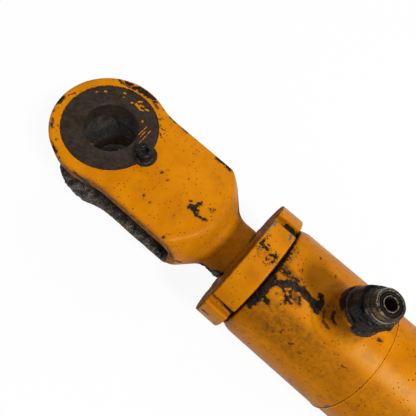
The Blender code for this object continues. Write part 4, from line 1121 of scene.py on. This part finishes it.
def caked_adapter(port_x, seed):
    """The adapter's field with dirt caked on its hexagon and packed in behind the nose."""
    def field(x, y, z):
        u, v, height = port_local(x, y, z, port_x)
        u, v, height = np.broadcast_arrays(u, v, height)
        radial = np.hypot(u, v)
        places = np.stack([u.ravel(), v.ravel(), height.ravel()], -1)
        rough = (lumps(places, 2.6, seed) + 0.5 * lumps(places, 1.1, seed + 1)).reshape(u.shape)
        low_side = smooth(v - 0.4 * u, -2, 12)
        thick = (0.25 + 0.9 * low_side) * smooth(-height, -HEX_TOP - 1, -HEX_TOP + 2)
        thick = thick * smooth(height, COLLAR_TOP - 1, COLLAR_TOP + 1.5)
        body = clean_adapter(u, v, height) - thick * (1 + 0.9 * rough) - 0.04 * rough
        packed = radial - 12.2 - 1.2 * low_side - 0.6 * rough
        packed = np.maximum(packed, slab(height, HEX_TOP - 1, LEDGE_FOOT + 0.2 + 0.3 * rough))
        gap = radial - COLLAR_RADIUS + 0.6 - 0.8 * low_side - 0.4 * rough
        gap = np.maximum(gap, slab(height, 82, 86))
        body = np.minimum.reduce([body, packed, gap])
        return np.maximum(np.maximum(body, FITTING_BORE - radial), height - NOSE_FACE)
    return field


# Where brass shows through on the nose, in the port's own places
BRASS_PATCHES = [(2.2, [(5, 8.6, 106), (0, 10.0, 105.5)]), (1.2, [(6.5, 5.5, 109.5)]),
                 (1.4, [(2, 8.8, 109.5)])]


def adapter(name, port_x, seed):
    low = (port_x - 18, -21, STUD_FOOT - 1)
    made = skin(name, caked_adapter(port_x, seed), low, (port_x + 18, 21, NOSE_FACE + 1), 0.42)
    u, v, height = port_local(*corners(made).T, port_x)
    radial = np.hypot(u, v)
    to_ledge = np.hypot(radial - LEDGE_RADIUS, height - NOSE_FOOT)
    to_collar = np.hypot(radial - COLLAR_RADIUS, height - COLLAR_TOP + 0.3)
    low_side = smooth(v - 0.2 * u, 2, 10)
    worn = np.maximum(0.10 - to_ledge + 0.35 * low_side, 0.05 - to_collar)
    to_rim = np.hypot(radial - NOSE_RADIUS + 0.6, height - NOSE_FACE + 0.3)
    to_lip = np.hypot(radial - GROOVE_OUTER, height - NOSE_FACE)
    # On the lit side the rim and lip are pale further round: a painted highlight along with the wear
    lit_side = 0.5 * smooth(u - v, -6, 6)
    worn = np.maximum(worn, np.maximum(-0.10 + lit_side - to_rim, 0.05 + 0.4 * lit_side - to_lip))
    land = np.minimum(GROOVE_INNER - 0.25 - radial, 2 * (height - NOSE_FACE + 0.6))
    patches = strokes_distance(np.stack([u, v, height], -1), BRASS_PATCHES)
    on_collar = 0.2 - 0.9 * (radial > COLLAR_RADIUS - 0.6)
    grime = np.where(np.abs(height - COLLAR_TOP + 0.6) < 1.0, on_collar, LEDGE_FOOT - 0.1 - height)
    write_attribute(made, "worn", worn)
    write_attribute(made, "brass", np.maximum(land, patches))
    write_attribute(made, "grime", grime)
    return made


def face_seal(name, port_x):
    radius = FACE_SEAL_SECTION / 2
    middle = (GROOVE_INNER + GROOVE_OUTER) / 2
    height = NOSE_FACE - GROOVE_DEPTH + 0.1 + radius
    turns = [math.radians(turn) for turn in range(0, 360, 20)]
    section = [(height + radius * math.cos(turn), middle + radius * math.sin(turn)) for turn in turns]
    made = turned(name, section, 96, "Z", 60)
    made.data.transform(Matrix.Rotation(PORT_LEAN, 4, "X"))
    place(made, port_x)
    return made


def lock_screw():
    """Socket-head screw with rounded edges and a hexagonal socket."""
    top = SCREW_HIGH[2]
    under = top - 8.0

    def field(x, y, z):
        radial = np.hypot(x - SCREW_X, y)
        head = meet_round(radial - 6.5, slab(z, under, top), 0.8)
        body = np.minimum(head, np.maximum(radial - 4.0, slab(z, SCREW_LOW[2], under + 1)))
        socket = np.maximum(hexagon_field(x - SCREW_X, y, 3.0), top - 4.0 - z)
        return cut_round(body, np.minimum(socket, radial - 3.45 + (top - z)), 0.3)
    return skin("socket_screw", field, (SCREW_X - 7, -7, SCREW_LOW[2]), (SCREW_X + 7, 7, top), 0.33)


def lock_washer():
    low, high = WASHER_LOW[2], WASHER_HIGH[2]
    ring = [(low, 4.4), (high - 0.2, 4.4), (high, 4.6), (high, 8.2), (high - 0.25, 8.5), (low, 8.5)]
    made = turned("plain_washer", ring, 128, "Z")
    place(made, SCREW_X)
    return made


def piston_rod():
    """Chromed rod with its spigot; its front end seats in the neck."""
    spigot = 18.0
    shoulder = 158.1
    start, end = ROD_LOW[0], ROD_HIGH[0]
    profile = [(start, 0), (start, spigot - 1), (start + 1, spigot), (shoulder, spigot),
               (shoulder, ROD_RADIUS - 1), (shoulder + 1, ROD_RADIUS)]
    profile += spread([(shoulder + 1, ROD_RADIUS), (end, ROD_RADIUS)], 6.0)[1:]
    made = turned("chrome_rod", profile + [(end, 0)], 192)
    write_attribute(made, "film", smooth(corners(made)[:, 0], GLAND_FACE - 20, GLAND_FACE - 8))
    return made


def rod_wiper():
    low, high = low_high("rod_wiper")
    lip, inner, outer = ROD_RADIUS + 0.3, ROD_RADIUS + 1.25, WIPER_RADIUS - 0.3
    face = GLAND_FACE - 0.3
    ring = [(low[0], inner), (face - 2, inner), (face - 0.6, lip), (high[0], lip), (high[0], inner - 0.2),
            (face - 0.3, inner + 1.6), (face, inner + 2.2), (face, outer), (low[0], outer)]
    return turned("wiper_ring", ring, 160)


def arc(radius, half, steps):
    """Profile of a sphere's belt, from its upper to its lower edge."""
    limit = math.asin(half / radius)
    turns = [limit - 2 * limit * step / steps for step in range(steps + 1)]
    return [(radius * math.sin(turn), radius * math.cos(turn)) for turn in turns]


def bearing_ball():
    half, edge = 16.0, 0.8
    bore = [(-half, PIN_RADIUS + edge), (-half + edge, PIN_RADIUS), (half - edge, PIN_RADIUS),
            (half, PIN_RADIUS + edge)]
    return turned("swivel_ball", bore + arc(BALL_RADIUS, half, 24), 160, "Z")


def bearing_race():
    half, outer = 12.5, BEARING_RADIUS - 0.3
    profile = [(-half, outer), (half, outer)] + arc(RACE_RADIUS, half, 20)
    return turned("swivel_race", profile, 160, "Z")


def grease_nipple():
    """Nipple on the base eye's end, with its hexagon and ball-headed tip."""
    def field(x, y, z):
        radial = np.hypot(y, z)
        along = -x
        thread = np.maximum(radial - 4.4, slab(along, 43.2, 50))
        hexagon = meet_round(hexagon_field(y, z, 5.5), radial - 6.1, 0.3)
        hexagon = meet_round(hexagon, slab(along, 49.3, 54.3), 0.4)
        waist = np.maximum(radial - 3.0, slab(along, 53, 62))
        tip = np.maximum(slab(along, 59.9, 64.3), radial - 1.2 + along - 64.3)
        head = meet_round(radial - 3.3, tip, 0.3)
        taper = np.maximum(radial - 3.3 + (along - 54.3) * 0.1, slab(along, 54, 58.3))
        body = np.minimum.reduce([thread, hexagon, waist, head, taper])
        return np.maximum(body, np.where(along > 63.6, 0.7 - radial, FAR))
    return skin("nipple", field, (-64.3, -6.5, -6.5), (-43.2, 6.5, 6.5), 0.36)


# Grease and dirt

NO_COAT = -30.0


def coat(name, body_field, low, high, cell, thickness, area, seed, rides, dust, limit=-FAR):
    """A lumpy layer on a body's surface, over an area of strokes and inside a limit."""
    def field(x, y, z):
        x, y, z = np.broadcast_arrays(x, y, z)
        places = np.stack([x.ravel(), y.ravel(), z.ravel()], -1)
        rough = 0.62 * lumps(places, 3.1, seed) + 0.38 * lumps(places, 1.3, seed + 1)
        broad = lumps(places, 8.5, seed + 2)
        depth = at(thickness, places) * (1 + 0.75 * rough + 0.35 * broad)
        inside = np.minimum(strokes_distance(places, area, NO_COAT), at(limit, places))
        depth = depth - 6.0 * smooth(-inside + 1.3 * rough, -0.5, 3.5)
        distance = body_field(*places.T)
        return np.maximum(distance - depth, -distance - 1.4).reshape(x.shape)
    made = skin(name, field, low, high, cell)
    made.data.materials.append(GREASE)
    write_attribute(made, "dust", dust)
    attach(made, rides)


EAR_GREASE = strokes(
    from_pin,
    (9.0, (-22, -36, -20.5), (-12, -42, -20.5), (10, -41, -20.5), (40, -37, -20.5), (100, -36, -20.5)),
    (4.5, (-18, -45, -24), (-6, -48, -27), (8, -48, -26), (22, -45, -24), (34, -43, -23)),
    (22.0, (-30, 18, -20.5), (-12, 34, -20.5)), (10.0, (20, -32, -20.5), (60, -30, -20.5)))
NECK_DIRT = strokes(
    from_pin,
    (2.0, (133, -29.6, 0), (138, -27.6, -2)), (3.4, (140, -26.6, -5), (147, -26.6, -4)),
    (3.0, (146.5, -26.9, 2), (149, -26.6, 6)))


def off_bore(x, y, z):
    return np.hypot(x - PIN_X, y) - PIN_RADIUS - 1.2


def ear_thickness(x, y, z):
    return 0.7 + smooth(y, 30, 44)


def ear_dust(x, y, z):
    """Dust clings to the rim and towards the slot's end, and hardly at all round the bore."""
    away = smooth(np.hypot(x - PIN_X, y), 28, 42)
    return away * (0.35 + 0.65 * smooth(y, 34, 43) + 0.5 * smooth(PIN_X - x, 20, 90))


def collar_field(x, y, z):
    """Paint and dirt that close the gap by the gland all round, but for a bare stretch of rod."""
    x, y, z = np.broadcast_arrays(x, y, z)
    places = np.stack([x.ravel(), y.ravel(), z.ravel()], -1)
    rough = (0.6 * lumps(places, 2.2, 31) + 0.4 * lumps(places, 1.0, 32)).reshape(x.shape)
    rho = np.hypot(y, z)
    body = np.maximum(rho - 26.0 - 0.15 * rough, slab(x, GLAND_FACE + 0.4, NECK_END + 0.3))
    turn = np.degrees(np.arctan2(-y, z))
    gap = 8.0 - np.abs(turn - 31) / 2.1 + 1.5 * rough
    return np.maximum(np.maximum(body, ROD_RADIUS - 0.2 - rho), gap * 0.4)


def rod_dirt_and_shade():
    made = skin("rod_dirt_and_shade", collar_field, (GLAND_FACE, -29, -29), (NECK_END + 1, 29, 29), 0.5)
    made.data.materials.append(YELLOW)
    # The collar is darkened all over: painted shade in the gap by the gland
    mark(made, strokes(on_round, (2.0, (151, -70, 26), (152, -130, 26))), soot=0.42)
    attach(made, "rod")


def on_boss(turn, height):
    """A place on the front boss, turned from the fork's side to the left, and up its axis."""
    u = BOSS_RADIUS * math.cos(math.radians(turn))
    v = BOSS_RADIUS * math.sin(math.radians(turn))
    lean_cos, lean_sin = math.cos(PORT_LEAN), math.sin(PORT_LEAN)
    return (FRONT_PORT + u, v * lean_cos - height * lean_sin, v * lean_sin + height * lean_cos)


BOSS_GRIME = strokes(
    on_boss,
    (2.2, (-28, 79.6), (-8, 78.6)), (2.9, (-8, 78.6), (18, 78.4)), (1.9, (18, 78.6), (34, 79.6)),
    (0.9, (36, 79.9), (43, 80.2)), (1.4, (88, 80.6), (100, 79.4)), (3.2, (104, 78.4), (125, 76)),
    (4.0, (125, 76), (160, 72)))
BOSS_GREASE = strokes(
    on_boss,
    (3.0, (100, 80.2), (118, 78.4)), (4.5, (118, 78.4), (140, 75.5)), (4.0, (140, 75.5), (160, 73.5)))


# Build every piece

PIECES = [
    ("rod_fork", fork, YELLOW, "rod", "yellow_paint"),
    ("barrel_head", barrel_head, YELLOW, "barrel", "yellow_paint"),
    ("gland", gland, YELLOW, "barrel", "yellow_paint"),
    ("base_eye", base_eye, YELLOW, "barrel", "yellow_paint"),
    ("barrel_tube", barrel_tube, YELLOW, "barrel", "yellow_paint"),
    ("front_adapter", lambda: adapter("front_fitting", FRONT_PORT, 21), FITTING, "barrel", "dark_steel"),
    ("rear_adapter", lambda: adapter("rear_fitting", REAR_PORT, 24), FITTING, "barrel", "dark_steel"),
    ("front_face_seal", lambda: face_seal("front_seal_ring", FRONT_PORT), RUBBER, "barrel", "seal_rubber"),
    ("rear_face_seal", lambda: face_seal("rear_seal_ring", REAR_PORT), RUBBER, "barrel", "seal_rubber"),
    ("fork_lock_screw", lock_screw, BLACK_STEEL, "rod", "dark_steel"),
    ("fork_lock_washer", lock_washer, DARK_STEEL, "rod", "dark_steel"),
    ("piston_rod", piston_rod, CHROME, "rod", "rod_chrome"),
    ("rod_wiper", rod_wiper, YELLOW, "barrel", "yellow_paint"),
    ("bearing_ball", bearing_ball, BEARING_STEEL, "ball", "bearing_steel"),
    ("bearing_race", bearing_race, BEARING_STEEL, "barrel", "bearing_steel"),
    ("grease_nipple", grease_nipple, BEARING_STEEL, "barrel", "bearing_steel"),
]
made_pieces = {}
for node, maker, finish, body, slot in PIECES:
    piece = maker()
    piece.data.materials.clear()
    piece.data.materials.append(finish)
    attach(piece, body)
    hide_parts(node)
    made_pieces[node] = piece

fork_piece, head_piece = made_pieces["rod_fork"], made_pieces["barrel_head"]
gland_piece, base_piece = made_pieces["gland"], made_pieces["base_eye"]
tube_piece = made_pieces["barrel_tube"]
fork_chips = FORK_CHIPS + scatter(fork_piece, 46, 3, 1.6,
                                  lambda x, y, z: (z < -30) | (y < -43) & (z < 25))
gland_chips = GLAND_CHIPS + scatter(gland_piece, 40, 4, 1.5,
                                    lambda x, y, z: (z < 5) & (np.hypot(y, z) > 57))
head_chips = HEAD_CHIPS + BOSS_GRIME + scatter(head_piece, 40, 5, 1.8,
                                               lambda x, y, z: (z < 5) & (np.hypot(y, z) > 53))
base_chips = scatter(base_piece, 110, 6, 1.9, lambda x, y, z: (np.hypot(y, z) > 25) & (x < 133))
tube_chips = scatter(tube_piece, 60, 7, 1.8,
                     lambda x, y, z: (np.hypot(y, z) > TUBE_RADIUS - 1) & (x < 440))
mark(fork_piece, fork_chips, bare=FORK_BARE, rust=FORK_RUST, steel=fork_steel, soot=fork_shade_and_dirt,
     dirt=LIGHT_DIRT)
mark(gland_piece, gland_chips, GLAND_SPECKLE, GLAND_BARE, soot=gland_shade_and_dirt, dirt=LIGHT_DIRT)
# The wiper is darkened all over: painted shade in the gland's front face
mark(made_pieces["rod_wiper"], soot=0.35)
mark(head_piece, head_chips, HEAD_SPECKLE, HEAD_BARE, HEAD_RUST, soot=head_shade_and_dirt, dirt=head_dirt,
     haze=barrel_painted_sheen)
mark(tube_piece, tube_chips, bare=TUBE_BARE, rust=TUBE_RUST, soot=barrel_side_painted_shade, haze=barrel_painted_sheen)
mark(base_piece, base_chips, steel=base_steel, soot=base_soot)
coat("ear_grease", fork_field, (PIN_X - 106, -48, -35), (PIN_X + 48, 52, -15), 0.75, ear_thickness,
     EAR_GREASE, 5, "rod", ear_dust, off_bore)
coat("neck_dirt", fork_field, (NECK_END + 0.6, 14, -20), (PIN_X - 126, 36, 14), 0.45, 1.2,
     NECK_DIRT, 11, "rod", 0.15)
rod_dirt_and_shade()
coat("boss_grease", head_field, (FRONT_PORT - 20, 4, 62), (FRONT_PORT + 8, 22, 84), 0.5, 1.5,
     BOSS_GREASE, 17, "barrel", 0.35)

for finish, nodes in NODE_FINISHES.items():
    for node in nodes:
        frame["nodes"][node].data.materials.clear()
        frame["nodes"][node].data.materials.append(finish)


# Camera, floor and light

CAMERA_PLACE = Vector((642.09, 113.10, 329.00)) * MM
CAMERA_RIGHT = Vector((-0.75626, -0.62989, 0.17691))
CAMERA_UP = Vector((0.64865, -0.68650, 0.32859))
CAMERA_BACK = Vector((-0.08553, 0.36325, 0.92776))
CAMERA_LENS = 33.41


def camera():
    made = bpy.data.objects.new("camera", bpy.data.cameras.new("camera"))
    bpy.context.scene.collection.objects.link(made)
    made.data.lens = CAMERA_LENS
    made.data.clip_start = 0.01
    turn = Matrix((CAMERA_RIGHT, CAMERA_UP, CAMERA_BACK)).transposed().to_4x4()
    made.matrix_world = Matrix.Translation(CAMERA_PLACE) @ turn
    bpy.context.scene.camera = made


# The floor reads as white, but for a soft shadow, and a painted shadow makes it dark right under the
# fork's eye
FLOOR_GLOW = 0.93
SHADE_CENTRE = (PIN_X + 8, -7)
SHADE_INNER = 36.0
SHADE_OUTER = 44.0
SKY_REACH = 0.15
SKY_HIDDEN, SKY_OPEN = 0.60, 0.72
FLOOR_SEEN = (0.95, 0.95, 0.95)
FLOOR_LIGHTING = (0.24, 0.24, 0.24)
FLOOR_PAINTED_SHADOW = (0.045, 0.036, 0.030)
FLOOR_GAP = 0.0004
WORLD_LIGHT = 0.25
LAMP_AIM = (0.6, 0, 0)


def floor():
    finish = Finish("floor", roughness=0.9, specular=0.1)
    path = finish.node("ShaderNodeLightPath").outputs
    seen = finish.math("MAXIMUM", path["Is Camera Ray"], path["Is Glossy Ray"])
    seen = finish.math("MAXIMUM", seen, path["Is Transmission Ray"])
    away = finish.node("ShaderNodeVectorMath", operation="DISTANCE")
    finish.feed(away.inputs[0], finish.where)
    away.inputs[1].default_value = (SHADE_CENTRE[0] * MM, SHADE_CENTRE[1] * MM, 0.0)
    inside = finish.step(away.outputs["Value"], SHADE_INNER * MM, SHADE_OUTER * MM, 1.0, 0.0)
    sky = finish.node("ShaderNodeAmbientOcclusion", {"Distance": SKY_REACH}, samples=8).outputs["AO"]
    shade = finish.times(inside, finish.step(sky, SKY_HIDDEN, SKY_OPEN, 1.0, 0.0))
    lit = finish.mix(seen, FLOOR_LIGHTING, FLOOR_SEEN)
    finish.set("Base Color", finish.mix(shade, lit, FLOOR_PAINTED_SHADOW))
    glow = finish.node("ShaderNodeEmission", {"Color": (1.0, 1.0, 1.0), "Strength": 1.0})
    both = finish.node("ShaderNodeMixShader")
    share = finish.times(seen, finish.math("SUBTRACT", 1.0, shade))
    finish.feed(both.inputs[0], finish.times(share, FLOOR_GLOW))
    finish.feed(both.inputs[1], finish.shader.outputs[0])
    finish.feed(both.inputs[2], glow.outputs[0])
    finish.feed(finish.tree.nodes["Material Output"].inputs["Surface"], both.outputs[0])
    bpy.ops.mesh.primitive_plane_add(size=9.0)
    made = bpy.context.active_object
    made.name = "floor"
    made.location = (0.0, 0.0, cad_box[0][2] - FLOOR_GAP)
    made.data.materials.append(finish.material)


def world():
    made = bpy.data.worlds.new("studio")
    bpy.context.scene.world = made
    made.use_nodes = True
    sky = made.node_tree.nodes["Background"]
    sky.inputs["Color"].default_value = (1.0, 1.0, 1.0, 1.0)
    sky.inputs["Strength"].default_value = WORLD_LIGHT


def lamp(name, place_at, size, power):
    made = bpy.data.objects.new(name, bpy.data.lights.new(name, "AREA"))
    bpy.context.scene.collection.objects.link(made)
    made.data.shape = "DISK"
    made.data.size = size
    made.data.energy = power
    made.location = place_at
    made.rotation_euler = (Vector(LAMP_AIM) - Vector(place_at)).to_track_quat("-Z", "Y").to_euler()


camera()
floor()
world()
lamp("key", (-0.95, 0.36, 2.50), 0.6, 66.0)
lamp("left", (0.90, 2.10, 1.40), 1.2, 4.0)
lamp("right", (0.90, -1.80, 1.80), 1.2, 11.0)

bpy.context.scene.view_settings.view_transform = "Standard"
